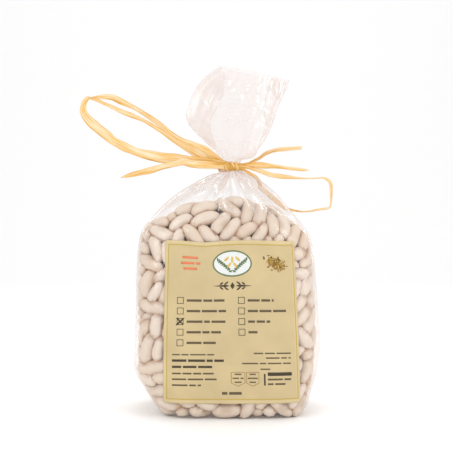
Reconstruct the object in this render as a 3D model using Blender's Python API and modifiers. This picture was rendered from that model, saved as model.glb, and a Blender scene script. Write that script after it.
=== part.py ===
"""A clear film bag of dried white beans, standing on its flat base: the filled bag is one knobbly solid that
narrows to a tied neck and opens again above it, with a paper label on the front and a raffia bow round the neck.

Metres, +Z up. The origin is the middle of the base, and the label faces -Y.
"""

import math
import random
from collections import namedtuple

import bmesh
import bpy
from mathutils import Matrix, Vector

# Driving dimensions of the filled bag
BAG_WIDTH = 0.112
BAG_DEPTH = 0.063
BAG_HEIGHT = 0.206
POINTS_ROUND = 36

# One dried bean, how far its crown stands out of the solid core, and how beans are scattered on it
BEAN_LENGTH = 0.0158
BEAN_WIDTH = 0.0076
BEAN_THICKNESS = 0.0068
BEAN_RELIEF = 0.0025
BEAN_UNEVENNESS = 0.09
BEAN_SPACING = 0.83
BEAN_TRIES = 7000
BEAN_SEED = 11

# Paper label on the front
LABEL_WIDTH = 0.077
LABEL_LOW = 0.0095
LABEL_HIGH = 0.1005
LABEL_MIDDLE = 0.0027
LABEL_THICKNESS = 0.0004
LABEL_CELLS = 12

# Free space that neighbouring solids keep
GAP = 0.0003

# Raffia: its strands are flat, its tie goes once round the neck, and its knot is in front of the tie
STRAND_THICKNESS = 0.0010
TIE_THICKNESS = 0.0015
TIE_RADIUS = 0.0083
TIE_STRETCH = 1.7
KNOT_SIZE = (0.0080, 0.0050, 0.0066)
KNOT_CENTRE = Vector((0.0062, -0.0052, 0.1453))
SHOULDER_CLEARANCE = 0.0026

BEAN_COLOUR = (0.83, 0.75, 0.68, 1.0)
LABEL_COLOUR = (0.80, 0.70, 0.46, 1.0)
RAFFIA_COLOUR = (0.80, 0.55, 0.22, 1.0)

# A level of the bag's skin. The sides are shares of half the bag's width, and front and back of half its depth.
# The two heights are shares of the bag's height, and differ where a section is tilted. Square is the exponent of
# the section's rounded rectangle, which is an ellipse at 2.
Station = namedtuple("Station", "left left_height right right_height front back square")


def flat(height, left, right, front, back, square):
    """A level station."""
    return Station(left, height, right, height, front, back, square)


# From the base, over the shoulders and the tied neck, to the slanting mouth of the film
STATIONS = [
    flat(0.000, -0.74, 0.79, -0.84, 0.84, 3.4),
    flat(0.018, -0.79, 0.87, -0.95, 0.93, 3.8),
    flat(0.068, -0.90, 0.93, -1.00, 0.97, 4.0),
    flat(0.127, -0.99, 0.985, -1.00, 0.99, 4.2),
    flat(0.219, -0.99, 1.00, -0.98, 1.00, 4.2),
    flat(0.365, -0.975, 0.965, -0.87, 0.99, 4.0),
    flat(0.476, -0.945, 0.93, -0.73, 0.95, 3.5),
    flat(0.525, -0.895, 0.865, -0.65, 0.88, 3.0),
    flat(0.578, -0.74, 0.705, -0.49, 0.76, 2.6),
    flat(0.631, -0.50, 0.525, -0.29, 0.56, 2.3),
    flat(0.672, -0.22, 0.32, -0.14, 0.38, 2.0),
    flat(0.691, -0.054, 0.168, -0.07, 0.31, 2.0),
    flat(0.721, -0.054, 0.168, -0.07, 0.31, 2.0),
    Station(-0.085, 0.735, 0.30, 0.731, -0.12, 0.35, 2.0),
    Station(-0.200, 0.770, 0.375, 0.763, -0.16, 0.38, 2.0),
    Station(-0.410, 0.832, 0.48, 0.811, -0.17, 0.41, 2.0),
    Station(-0.400, 0.880, 0.55, 0.869, -0.14, 0.38, 2.0),
    Station(-0.285, 0.945, 0.625, 0.917, -0.08, 0.33, 2.0),
    Station(-0.070, 1.000, 0.68, 0.955, -0.03, 0.28, 2.0),
]
TOP_LEVEL = len(STATIONS) - 1
NECK_LEVEL = 11
FLARE_LEVEL = 13
FIRST_BEAN_LEVEL = 0.55
LAST_BEAN_LEVEL = 8.75
# The loose film above the tie waves to and fro, most at its rim
PLEATS = 4.5
PLEAT_DEPTH = 0.0016

# Centre lines of the raffia in millimetres, each from the knot outwards
MM = 0.001
LEFT_LOOP_LOWER = [
    (5, -5, 145), (-11.6, -8, 145.6), (-25, -11, 147.7), (-35.6, -13, 149.4), (-47, -14, 151.6),
    (-57.6, -14, 154.3), (-66.2, -13, 158.8), (-72.8, -12, 163.9), (-79.8, -11, 170.2), (-84.6, -9.5, 176.2),
    (-86, -8, 180.8), (-85.4, -7, 184.4), (-82.6, -6, 186.4),
]
LEFT_LOOP_INNER = [
    (4, -4.5, 145.5), (-4.8, -6, 147.1), (-13.8, -7, 150.1), (-21.6, -7.5, 153.4), (-30, -7.5, 158.5),
    (-39.6, -7.5, 165.2), (-47.4, -7, 169.6), (-55.8, -6.5, 173.3), (-65.4, -6, 177), (-73.8, -5.5, 181.6),
    (-82.6, -6, 186.4),
]
LEFT_LOOP_OUTER = [
    (4, -4.5, 146), (-2.4, -4.5, 148.6), (-9.6, -4, 152.4), (-17.4, -4, 156.4), (-25.8, -3.5, 160.2),
    (-32.4, -3, 164.3), (-39.6, -2.5, 169.4), (-47.4, -2.5, 175.1), (-54.9, -3, 180), (-62.4, -3.5, 184.2),
    (-69, -4.5, 187), (-76.4, -5.5, 186.8), (-83.6, -6, 186.1),
]
LEFT_TAIL = [
    (5, -6, 145), (-11.6, -10.5, 146), (-22.8, -14.5, 148.2), (-30, -17, 146.4), (-39.6, -19, 143.6),
    (-49.2, -21, 140.8), (-57.6, -22, 139), (-63.3, -23, 137.3),
]
RIGHT_TAIL_UPPER = [
    (8, 12, 144.8), (14, 13.2, 146.4), (19.6, 11.5, 149.4), (25.5, 8.5, 153.4), (30.5, 6, 155),
    (38.2, 3.5, 156), (45.5, 2.5, 156.4),
]
RIGHT_TAIL_MIDDLE = [
    (6, -5, 145.4), (11.5, -8, 145.4), (18, -10, 145.7), (24, -11, 145.4), (32.4, -12, 144.4),
    (41.2, -12.5, 143.5), (49.6, -13, 142.5),
]
RIGHT_LOOP_FRONT = [
    (6, -5, 144.6), (11.5, -7.5, 144.2), (17, -9, 143.1), (23.6, -10, 141.2), (30.2, -10.5, 139.4),
    (36.8, -10.5, 138.4), (43.4, -10, 137.9), (52.2, -9, 137.7), (58.4, -7.5, 137.6), (61.8, -6, 135.6),
    (63, -3.5, 131.6), (63.3, -0.5, 127), (62.6, 2.5, 122.8), (60.6, 4.5, 120), (55.2, 6.5, 118.8),
    (47.4, 10, 118.2),
]
# Where the right loop goes back to the knot close behind the shoulder: x and z only
RIGHT_LOOP_BEHIND = [(41.5, 118.8), (37.8, 120.2), (33, 123), (27.6, 127.6), (21.6, 132.6), (16, 137.2)]
RIGHT_LOOP_END = (10.5, 12, 142.5)


def between(level):
    """The station at a fractional level, on a smooth curve through the stations."""
    here = min(int(level), TOP_LEVEL - 1)
    t = level - here
    nearby = [STATIONS[min(max(here + step, 0), TOP_LEVEL)] for step in (-1, 0, 1, 2)]
    values = []
    for a, b, c, d in zip(*nearby):
        bend = 2 * a - 5 * b + 4 * c - d
        twist = 3 * (b - c) + d - a
        values.append(0.5 * (2 * b + (c - a) * t + bend * t * t + twist * t ** 3))
    return Station(*values)


def skin_point(level, turn):
    """A point of the bag's skin: turn runs from the right side over the back, and is 1.5 pi at the front."""
    s = between(level)
    ahead, aside = abs(math.cos(turn)), abs(math.sin(turn))
    reach = (ahead ** s.square + aside ** s.square) ** (-1 / s.square)
    across = math.cos(turn) * reach
    deep = math.sin(turn) * reach
    share = (across + 1) / 2
    x = (s.left + (s.right - s.left) * share) * BAG_WIDTH / 2
    y = ((s.front + s.back) / 2 + (s.back - s.front) / 2 * deep) * BAG_DEPTH / 2
    z = (s.left_height + (s.right_height - s.left_height) * share) * BAG_HEIGHT
    if level > FLARE_LEVEL:
        loose = (level - FLARE_LEVEL) / (TOP_LEVEL - FLARE_LEVEL)
        y += PLEAT_DEPTH * loose * math.sin(PLEATS * math.tau * share)
    return Vector((x, y, z))


def skin_frame(level, turn):
    """The skin's outward normal and its level tangent at a point."""
    step = 0.02
    around = skin_point(level, turn + step) - skin_point(level, turn - step)
    upward = skin_point(level + step, turn) - skin_point(level - step, turn)
    return around.cross(upward).normalized(), around.normalized()


def level_at(height):
    """The level where the skin below the neck has this height."""
    low, high = 0.0, float(NECK_LEVEL)
    for _ in range(30):
        middle = (low + high) / 2
        if between(middle).left_height * BAG_HEIGHT < height:
            low = middle
        else:
            high = middle
    return low


def skin_depth(x, height, side):
    """The skin's y at a place seen from the front: side is -1 for the front face and 1 for the back."""
    s = between(level_at(height))
    middle = (s.left + s.right) / 2 * BAG_WIDTH / 2
    half = (s.right - s.left) / 2 * BAG_WIDTH / 2
    out = min(abs(x - middle) / half, 1.0)
    deep = (1 - out ** s.square) ** (1 / s.square)
    return ((s.front + s.back) / 2 + side * (s.back - s.front) / 2 * deep) * BAG_DEPTH / 2


def under_label(point, margin):
    """True where the label covers this point of the skin, or comes within the margin of it."""
    return (
        point.y < 0
        and abs(point.x - LABEL_MIDDLE) < LABEL_WIDTH / 2 + margin
        and LABEL_LOW - margin < point.z < LABEL_HIGH + margin
    )


def core_point(level, turn):
    """The skin, drawn in by the beans' relief where beans show and left as it is behind the label."""
    point = skin_point(level, turn)
    if level < FIRST_BEAN_LEVEL or under_label(point, 0.0):
        return point
    fade = max(0.0, min(1.0, LAST_BEAN_LEVEL + 1 - level))
    normal, _ = skin_frame(level, turn)
    inward = Vector((normal.x, normal.y, 0))
    return point - inward * BEAN_RELIEF * fade


def material(name, colour, roughness):
    made = bpy.data.materials.new(name)
    made.use_nodes = True
    shader = made.node_tree.nodes["Principled BSDF"]
    shader.inputs["Base Color"].default_value = colour
    shader.inputs["Roughness"].default_value = roughness
    shader.inputs["Metallic"].default_value = 0.0
    return made


def finished(name, bm, collection, finish):
    """A new object in a collection, with the shape of a bmesh and this finish."""
    mesh = bpy.data.meshes.new(name)
    bm.to_mesh(mesh)
    bm.free()
    mesh.materials.append(finish)
    made = bpy.data.objects.new(name, mesh)
    collection.objects.link(made)
    return made


def helper_collection(name):
    made = bpy.data.collections.new(name)
    bpy.context.scene.collection.children.link(made)
    return made


def fuse(target, pieces):
    """Joins a collection's objects into the target with one union, and removes them."""
    joint = target.modifiers.new("union", "BOOLEAN")
    joint.operation = "UNION"
    joint.operand_type = "COLLECTION"
    joint.collection = pieces
    joint.solver = "MANIFOLD"
    bpy.context.view_layer.objects.active = target
    bpy.ops.object.modifier_apply(modifier=joint.name)
    for piece in list(pieces.objects):
        bpy.data.objects.remove(piece)
    bpy.data.collections.remove(pieces)
    return target


def bag_core(collection, finish):
    """Rings of the skin extruded upwards one from the next, closed by a flat base and by the film's rim."""
    bm = bmesh.new()
    turns = [math.tau * i / POINTS_ROUND for i in range(POINTS_ROUND)]
    base = bmesh.ops.create_circle(bm, cap_ends=False, radius=1.0, segments=POINTS_ROUND)["verts"]
    for vert, turn in zip(base, turns):
        vert.co = core_point(0, turn)
    ring = base
    edges = list(bm.edges)
    for level in range(1, TOP_LEVEL + 1):
        made = bmesh.ops.extrude_edge_only(bm, edges=edges)["geom"]
        fresh = {v for v in made if isinstance(v, bmesh.types.BMVert)}
        ring = [next(e.other_vert(v) for e in v.link_edges if e.other_vert(v) in fresh) for v in ring]
        edges = [e for e in made if isinstance(e, bmesh.types.BMEdge) and fresh.issuperset(e.verts)]
        for vert, turn in zip(ring, turns):
            vert.co = core_point(level, turn)
    bm.faces.new(base)
    bm.faces.new(ring)
    bmesh.ops.triangulate(bm, faces=[f for f in bm.faces if len(f.verts) == 4])
    bmesh.ops.recalc_face_normals(bm, faces=bm.faces)
    return finished("filled_bag", bm, collection, finish)


def bean_places():
    """Where beans show on the skin: dropped at random, and kept where they are clear of those already there."""
    draw = random.Random(BEAN_SEED)
    clear = BEAN_WIDTH / 2 + GAP
    reach = (BEAN_LENGTH - BEAN_WIDTH) / 2
    places, taken = [], []
    for _ in range(BEAN_TRIES):
        level = draw.uniform(FIRST_BEAN_LEVEL, LAST_BEAN_LEVEL)
        turn = draw.uniform(0, math.tau)
        slant = draw.uniform(0, math.pi)
        size = draw.uniform(1 - BEAN_UNEVENNESS, 1 + BEAN_UNEVENNESS)
        normal, side = skin_frame(level, turn)
        along = side * math.cos(slant) + normal.cross(side) * math.sin(slant)
        centre = skin_point(level, turn) - normal * BEAN_THICKNESS / 2
        spots = [centre - along * reach, centre, centre + along * reach]
        if any(under_label(spot, clear) or spot.z < clear for spot in spots):
            continue
        if any((spot - other).length < BEAN_WIDTH * BEAN_SPACING for spot in spots for other in taken):
            continue
        taken += spots
        places.append((centre, along, normal, size))
    return places


def bean(name, place, collection, finish):
    """A faceted bean that lies along the skin."""
    centre, along, normal, size = place
    turned = Matrix((along, normal.cross(along), normal)).transposed().to_4x4()
    stretched = Matrix.Diagonal((BEAN_LENGTH * size / 2, BEAN_WIDTH * size / 2, BEAN_THICKNESS / 2, 1.0))
    bm = bmesh.new()
    bmesh.ops.create_icosphere(bm, subdivisions=1, radius=1.0)
    bmesh.ops.transform(bm, matrix=Matrix.Translation(centre) @ turned @ stretched, verts=bm.verts)
    return finished(name, bm, collection, finish)


def filled_bag(collection):
    finish = material("clear_bag_of_beans", BEAN_COLOUR, 0.35)
    bag = bag_core(collection, finish)
    beans = helper_collection("beans")
    for index, place in enumerate(bean_places()):
        bean(f"bean_{index}", place, beans, finish)
    return fuse(bag, beans)


def label(collection):
    """A sheet of paper that follows the bag's front face, just clear of it."""
    bm = bmesh.new()
    bmesh.ops.create_grid(bm, x_segments=LABEL_CELLS, y_segments=LABEL_CELLS, size=0.5)
    for vert in bm.verts:
        x = LABEL_MIDDLE + vert.co.x * LABEL_WIDTH
        z = LABEL_LOW + (vert.co.y + 0.5) * (LABEL_HIGH - LABEL_LOW)
        vert.co = Vector((x, skin_depth(x, z, -1) - GAP, z))
    made = finished("label", bm, collection, material("label_paper", LABEL_COLOUR, 0.55))
    wall = made.modifiers.new("paper", "SOLIDIFY")
    wall.thickness = LABEL_THICKNESS
    wall.offset = 1.0
    return made


def strand_section(width):
    """The flat six-sided section of a strand, thin along x and wide along y."""
    curve = bpy.data.curves.new("strand_section", "CURVE")
    curve.dimensions = "2D"
    spline = curve.splines.new("POLY")
    spline.points.add(5)
    thin, wide = STRAND_THICKNESS / 2, width / 2
    corners = [(thin, -wide / 2), (thin, wide / 2), (0, wide), (-thin, wide / 2), (-thin, -wide / 2), (0, -wide)]
    for point, (x, y) in zip(spline.points, corners):
        point.co = (x, y, 0, 1)
    spline.use_cyclic_u = True
    return bpy.data.objects.new("strand_section", curve)


def strand(name, path, width, shares, collection, finish):
    """A flat strand of raffia along a path. shares are of its width, at its start, middle and end."""
    curve = bpy.data.curves.new(name, "CURVE")
    curve.dimensions = "3D"
    curve.twist_mode = "MINIMUM"
    curve.resolution_u = 2
    curve.bevel_mode = "OBJECT"
    curve.bevel_object = strand_section(width)
    curve.use_fill_caps = True
    spline = curve.splines.new("BEZIER")
    last = len(path) - 1
    spline.bezier_points.add(last)
    start, middle, end = shares
    for index, (point, place) in enumerate(zip(spline.bezier_points, path)):
        point.co = Vector(place) * MM
        point.handle_left_type = point.handle_right_type = "AUTO"
        t = index / last
        if t < 0.5:
            point.radius = start + (middle - start) * 2 * t
        else:
            point.radius = middle + (end - middle) * (2 * t - 1)
    line = bpy.data.objects.new(name, curve)
    collection.objects.link(line)
    seen = line.evaluated_get(bpy.context.evaluated_depsgraph_get())
    mesh = bpy.data.meshes.new_from_object(seen)
    bpy.data.objects.remove(curve.bevel_object)
    bpy.data.objects.remove(line)
    bm = bmesh.new()
    bm.from_mesh(mesh)
    bmesh.ops.remove_doubles(bm, verts=bm.verts, dist=1e-6)
    bmesh.ops.recalc_face_normals(bm, faces=bm.faces)
    return finished(name, bm, collection, finish)


def tie_round_neck(collection, finish):
    """The turn of raffia round the neck, a ring stretched along the neck."""
    s, above = STATIONS[NECK_LEVEL], STATIONS[NECK_LEVEL + 1]
    centre = Vector((
        (s.left + s.right) / 2 * BAG_WIDTH / 2,
        (s.front + s.back) / 2 * BAG_DEPTH / 2,
        (s.left_height + above.left_height) / 2 * BAG_HEIGHT,
    ))
    bpy.ops.mesh.primitive_torus_add(
        major_segments=18, minor_segments=6, major_radius=TIE_RADIUS, minor_radius=TIE_THICKNESS, location=centre
    )
    ring = bpy.context.active_object
    ring.name = "raffia_bow"
    ring.scale.z = TIE_STRETCH
    bpy.ops.object.transform_apply(location=True, rotation=False, scale=True)
    ring.data.materials.append(finish)
    for home in list(ring.users_collection):
        home.objects.unlink(ring)
    collection.objects.link(ring)
    return ring


def knot(collection, finish):
    """The lump where the bow is knotted, in front of the neck."""
    bm = bmesh.new()
    bmesh.ops.create_icosphere(bm, subdivisions=2, radius=0.5)
    bmesh.ops.scale(bm, vec=KNOT_SIZE, verts=bm.verts)
    bmesh.ops.translate(bm, vec=KNOT_CENTRE, verts=bm.verts)
    return finished("knot", bm, collection, finish)


def right_loop_path():
    """The right loop in front, round its two corners, and back to the knot close behind the shoulder."""
    behind = [(x, (skin_depth(x * MM, z * MM, 1) + SHOULDER_CLEARANCE) / MM, z) for x, z in RIGHT_LOOP_BEHIND]
    return RIGHT_LOOP_FRONT + behind + [RIGHT_LOOP_END]


def raffia_bow(collection):
    """Strands, knot and tie fused: one hank of raffia, tied in a bow."""
    finish = material("raffia", RAFFIA_COLOUR, 0.6)
    strands = helper_collection("strands")
    for name, path, width, shares in (
        ("left_loop_lower", LEFT_LOOP_LOWER, 0.0052, (0.7, 1.1, 0.45)),
        ("left_loop_inner", LEFT_LOOP_INNER, 0.0030, (0.8, 0.9, 0.7)),
        ("left_loop_outer", LEFT_LOOP_OUTER, 0.0038, (0.8, 0.9, 0.6)),
        ("left_tail", LEFT_TAIL, 0.0042, (0.9, 0.8, 0.25)),
        ("right_tail_upper", RIGHT_TAIL_UPPER, 0.0026, (0.8, 1.0, 0.9)),
        ("right_tail_middle", RIGHT_TAIL_MIDDLE, 0.0030, (0.8, 1.0, 0.25)),
        ("right_loop", right_loop_path(), 0.0025, (1.0, 0.9, 1.0)),
    ):
        strand(name, path, width, shares, strands, finish)
    knot(strands, finish)
    return fuse(tie_round_neck(collection, finish), strands)


def main():
    for old in list(bpy.data.objects):
        bpy.data.objects.remove(old)
    collection = bpy.data.collections.new("bag_of_dried_beans")
    bpy.context.scene.collection.children.link(collection)
    filled_bag(collection)
    label(collection)
    raffia_bow(collection)


main()
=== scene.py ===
"""Looks of a clear film bag of dried white beans. Loose beans lie in a draped film, whose neck is tied with
raffia and whose open mouth stands up above the tie. A printed paper label lies on the front.
Metres, +Z up, label towards -Y."""

import math

import bmesh
import bpy
import numpy as np
from mathutils import Matrix, Vector, noise
from mathutils.bvhtree import BVHTree


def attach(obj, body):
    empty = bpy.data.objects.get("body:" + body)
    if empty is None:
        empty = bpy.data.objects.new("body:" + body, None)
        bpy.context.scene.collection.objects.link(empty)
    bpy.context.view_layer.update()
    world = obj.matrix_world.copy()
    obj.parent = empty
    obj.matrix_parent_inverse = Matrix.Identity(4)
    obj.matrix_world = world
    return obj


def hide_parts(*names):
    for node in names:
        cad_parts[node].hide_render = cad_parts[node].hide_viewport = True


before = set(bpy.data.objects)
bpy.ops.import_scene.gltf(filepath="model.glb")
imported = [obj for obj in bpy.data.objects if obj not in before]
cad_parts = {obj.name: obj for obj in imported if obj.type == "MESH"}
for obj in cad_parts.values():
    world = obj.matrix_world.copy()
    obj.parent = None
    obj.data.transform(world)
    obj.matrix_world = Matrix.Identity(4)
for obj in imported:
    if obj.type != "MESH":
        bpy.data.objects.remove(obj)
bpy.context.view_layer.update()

# Camera
# The photograph looks at the bag from straight ahead, level with the middle of the bag and close to it.
# One of its pixels is 0.6 mm at the middle of the bag, which sets the lens.
PHOTO_PIXELS = 452
METRES_PER_PIXEL = 0.0006
CAMERA_DISTANCE = 0.450
CAMERA_HEIGHT = 0.109
SENSOR_MM = 36.0

camera_data = bpy.data.cameras.new("camera")
camera_data.sensor_width = SENSOR_MM
camera_data.lens = SENSOR_MM * CAMERA_DISTANCE / (PHOTO_PIXELS * METRES_PER_PIXEL)
camera_data.dof.use_dof = False
camera = bpy.data.objects.new("camera", camera_data)
camera.location = (0, -CAMERA_DISTANCE, CAMERA_HEIGHT)
camera.rotation_euler = (math.pi / 2, 0, 0)
bpy.context.scene.collection.objects.link(camera)
bpy.context.scene.camera = camera


# Floor and light
# A white sweep runs flat under the bag and curves up behind it. Large soft boxes and a white surround light
# it, and narrow lamps in front and behind give the film its sharp glints.
FLOOR_WHITE = (0.95, 0.95, 0.95, 1.0)
SWEEP_HALF_WIDTH = 2.2
SWEEP_FRONT = -1.6
SWEEP_BACK = 1.0
SWEEP_RADIUS = 0.6
SWEEP_TOP = 2.4
SWEEP_STEPS = 12
SURROUND_STRENGTH = 0.88
# place, what it faces, width, height, watts, colour
LAMPS = {
    "key_box": ((-0.62, -0.72, 0.72), (0, 0, 0.09), 0.55, 0.55, 1.7, (1.0, 0.985, 0.97)),
    "fill_box": ((0.85, -0.55, 0.35), (0, 0, 0.09), 0.7, 0.7, 1.75, (1.0, 0.98, 0.97)),
    "top_box": ((0.05, 0.05, 0.95), (0, 0, 0.09), 0.5, 0.5, 1.5, (1.0, 0.99, 0.98)),
    "back_box": ((0, 0.5, 1.5), (0, 1.6, 0.5), 1.6, 0.6, 2.3, (1.0, 1.0, 1.0)),
    "left_glint": ((-0.42, -0.50, 0.42), (0, 0, 0.13), 0.035, 0.35, 0.25, (1.0, 1.0, 1.0)),
    "right_glint": ((0.38, -0.42, 0.50), (0, 0, 0.13), 0.035, 0.30, 0.20, (1.0, 1.0, 1.0)),
    "rear_left_glint": ((-0.40, 0.46, 0.46), (0, 0, 0.11), 0.05, 0.45, 0.45, (1.0, 0.99, 0.98)),
    "rear_right_glint": ((0.44, 0.44, 0.36), (0, 0, 0.11), 0.05, 0.45, 0.45, (1.0, 0.99, 0.98)),
}


def material(name):
    """A new node material: the material, its nodes, its links and its output."""
    made = bpy.data.materials.new(name)
    made.use_nodes = True
    tree = made.node_tree
    tree.nodes.clear()
    output = tree.nodes.new("ShaderNodeOutputMaterial")
    return made, tree.nodes, tree.links, output


def node(kind, inputs, **settings):
    """A node of the material in hand. An input gets a value of its own, or the output of another node."""
    made = nodes.new("ShaderNode" + kind)
    for name, value in settings.items():
        setattr(made, name, value)
    for socket, value in inputs.items():
        if isinstance(value, bpy.types.NodeSocket):
            links.new(value, made.inputs[socket])
        else:
            made.inputs[socket].default_value = value
    return made


def piece(name, source, finish):
    """A new object at the origin, with the shape of a bmesh or a mesh and this finish."""
    if isinstance(source, bmesh.types.BMesh):
        mesh = bpy.data.meshes.new(name)
        source.to_mesh(mesh)
        source.free()
    else:
        mesh = source
    mesh.materials.clear()
    mesh.materials.append(finish)
    mesh.shade_smooth()
    made = bpy.data.objects.new(name, mesh)
    bpy.context.scene.collection.objects.link(made)
    return made


sweep_white, nodes, links, output = material("sweep_white")
paper_roll = node("BsdfDiffuse", {"Color": FLOOR_WHITE})
links.new(paper_roll.outputs[0], output.inputs["Surface"])

bm = bmesh.new()
ends = [bm.verts.new((x, SWEEP_FRONT, 0)) for x in (-SWEEP_HALF_WIDTH, SWEEP_HALF_WIDTH)]
edge = bm.edges.new(ends)
curve = [(SWEEP_BACK, 0.0)]
for step in range(1, SWEEP_STEPS + 1):
    angle = math.pi / 2 * step / SWEEP_STEPS
    curve.append((SWEEP_BACK + SWEEP_RADIUS * math.sin(angle), SWEEP_RADIUS * (1 - math.cos(angle))))
curve.append((SWEEP_BACK + SWEEP_RADIUS, SWEEP_TOP))
for y, z in curve:
    made = bmesh.ops.extrude_edge_only(bm, edges=[edge])["geom"]
    fresh = {v for v in made if isinstance(v, bmesh.types.BMVert)}
    for vert in fresh:
        vert.co.y, vert.co.z = y, z
    edge = next(e for e in made if isinstance(e, bmesh.types.BMEdge) and fresh.issuperset(e.verts))
bmesh.ops.recalc_face_normals(bm, faces=bm.faces)
sweep = piece("sweep", bm, sweep_white)

for name, (place, target, width, height, watts, colour) in LAMPS.items():
    lamp_data = bpy.data.lights.new(name, "AREA")
    lamp_data.shape = "RECTANGLE"
    lamp_data.size, lamp_data.size_y = width, height
    lamp_data.energy = watts
    lamp_data.color = colour
    lamp = bpy.data.objects.new(name, lamp_data)
    lamp.location = place
    lamp.visible_camera = False
    lamp.rotation_euler = (Vector(target) - Vector(place)).to_track_quat("-Z", "Y").to_euler()
    bpy.context.scene.collection.objects.link(lamp)

world = bpy.data.worlds.new("white_surround")
world.use_nodes = True
world.node_tree.nodes["Background"].inputs["Color"].default_value = (1.0, 1.0, 1.0, 1.0)
world.node_tree.nodes["Background"].inputs["Strength"].default_value = SURROUND_STRENGTH
bpy.context.scene.world = world
bpy.context.scene.view_settings.view_transform = "Standard"


# Form of the bag
# The film is one tube: its flat base, the filled part, the shoulders, the tied neck and the loose mouth above
# it. Beans, film and label all follow this one form, which keeps within 3 mm of the CAD model's stations.
BAG_WIDTH = 0.112
BAG_DEPTH = 0.063
BAG_HEIGHT = 0.206
# left, its height, right, its height, front, back, and the exponent of the rounded section. Sides are shares
# of half the width, front and back of half the depth, heights of the height.
STATIONS = np.array([
    (-0.70, 0.000, 0.79, 0.000, -0.84, 0.84, 3.4),
    (-0.74, 0.018, 0.865, 0.018, -0.95, 0.93, 3.8),
    (-0.865, 0.068, 0.915, 0.068, -1.00, 0.97, 4.0),
    (-0.975, 0.127, 0.975, 0.127, -1.00, 0.99, 4.2),
    (-0.97, 0.219, 1.00, 0.219, -0.98, 1.00, 4.2),
    (-0.96, 0.365, 0.965, 0.365, -0.87, 0.99, 4.0),
    (-0.945, 0.476, 0.93, 0.476, -0.73, 0.95, 3.5),
    (-0.895, 0.525, 0.865, 0.525, -0.65, 0.88, 3.0),
    (-0.74, 0.578, 0.705, 0.578, -0.49, 0.76, 2.6),
    (-0.50, 0.631, 0.525, 0.631, -0.29, 0.56, 2.3),
    (-0.22, 0.672, 0.32, 0.672, -0.14, 0.38, 2.0),
    (-0.054, 0.691, 0.168, 0.691, -0.07, 0.31, 2.0),
    (-0.054, 0.721, 0.168, 0.721, -0.07, 0.31, 2.0),
    (-0.085, 0.735, 0.30, 0.731, -0.12, 0.35, 2.0),
    (-0.200, 0.770, 0.375, 0.763, -0.16, 0.38, 2.0),
    (-0.410, 0.832, 0.48, 0.811, -0.17, 0.41, 2.0),
    (-0.400, 0.880, 0.55, 0.869, -0.14, 0.38, 2.0),
    (-0.285, 0.945, 0.625, 0.917, -0.08, 0.33, 2.0),
    (-0.070, 1.000, 0.68, 0.955, -0.03, 0.28, 2.0),
])
TOP_LEVEL = len(STATIONS) - 1
NECK_LEVEL = 11
FLARE_LEVEL = 13
BODY_SAMPLES = 441
# Pleats of the mouth are faint at its left edge and full at its right
PLEATS = 8.0
PLEAT_DEPTH = 0.0006
PLEAT_FAINT = 0.25
# In the mouth each side is folded inwards, as on a bag with side gussets. The shares of the half width that
# the left and the right fold reach in, from the tie at 0 to the rim at 1
GUSSET_ANGLE = math.radians(35)
GUSSET_START = 5
GUSSET_LEFT = ((0, 0.2, 0.37, 0.57, 0.74, 0.88, 1), (0, 0.35, 0.51, 0.63, 0.65, 0.45, 0.05))
GUSSET_RIGHT = ((0, 0.2, 0.40, 0.70, 1), (0, 0.10, 0.17, 0.36, 0.50))


def smooth_through(a, b, c, d, t):
    """The place at share t of the way from b to c, on a smooth curve through all four."""
    return 0.5 * (2 * b + (c - a) * t + (2 * a - 5 * b + 4 * c - d) * t ** 2 + (3 * (b - c) + d - a) * t ** 3)


def stations_at(level):
    """Rows of the table at fractional levels, on smooth curves through it."""
    here = np.clip(level.astype(int), 0, TOP_LEVEL - 1)
    t = (level - here)[..., None]
    a, b, c, d = (STATIONS[np.clip(here + step, 0, TOP_LEVEL)] for step in (-1, 0, 1, 2))
    return smooth_through(a, b, c, d, t)


def skin(level, turn):
    """Points of the bag's form. Turn runs from the right side over the back, and is 1.5 pi at the front."""
    left, left_height, right, right_height, front, back, square = np.moveaxis(stations_at(level), -1, 0)
    cosine, sine = np.cos(turn), np.sin(turn)
    reach = (np.abs(cosine) ** square + np.abs(sine) ** square) ** (-1 / square)
    across, deep = cosine * reach, sine * reach
    loose = np.clip((level - FLARE_LEVEL) / (TOP_LEVEL - FLARE_LEVEL), 0, 1)
    from_side = np.arcsin(np.clip(np.abs(sine), 0, 1))
    tuck = np.where(cosine < 0, np.interp(loose, *GUSSET_LEFT), np.interp(loose, *GUSSET_RIGHT))
    tucked = 1 - tuck * (1 - from_side / GUSSET_ANGLE)
    gusset = np.where(from_side < GUSSET_ANGLE, tucked, np.abs(cosine) / math.cos(GUSSET_ANGLE))
    folded = np.minimum(loose * GUSSET_START, 1)
    across = across * (1 - folded) + np.sign(cosine) * gusset * folded
    share = (across + 1) / 2
    x = (left + (right - left) * share) * BAG_WIDTH / 2
    y = ((front + back) / 2 + (back - front) / 2 * deep) * BAG_DEPTH / 2
    pleated = PLEAT_FAINT + (1 - PLEAT_FAINT) * np.clip(share * 2.4 - 1.3, 0, 1)
    y += PLEAT_DEPTH * loose * np.sin(PLEATS * math.tau * share) * pleated
    z = (left_height + (right_height - left_height) * share) * BAG_HEIGHT
    return np.stack([x, y, z], axis=-1)


body_levels = np.linspace(0, NECK_LEVEL, BODY_SAMPLES)
body_rows = stations_at(body_levels)
body_heights = body_rows[:, 1] * BAG_HEIGHT


def section(height):
    """Left, right, front and back in metres, and the exponent, of the level section at each height."""
    scale = (BAG_WIDTH / 2, BAG_WIDTH / 2, BAG_DEPTH / 2, BAG_DEPTH / 2, 1)
    columns = (0, 2, 4, 5, 6)
    return [np.interp(height, body_heights, body_rows[:, c]) * s for c, s in zip(columns, scale)]


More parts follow.
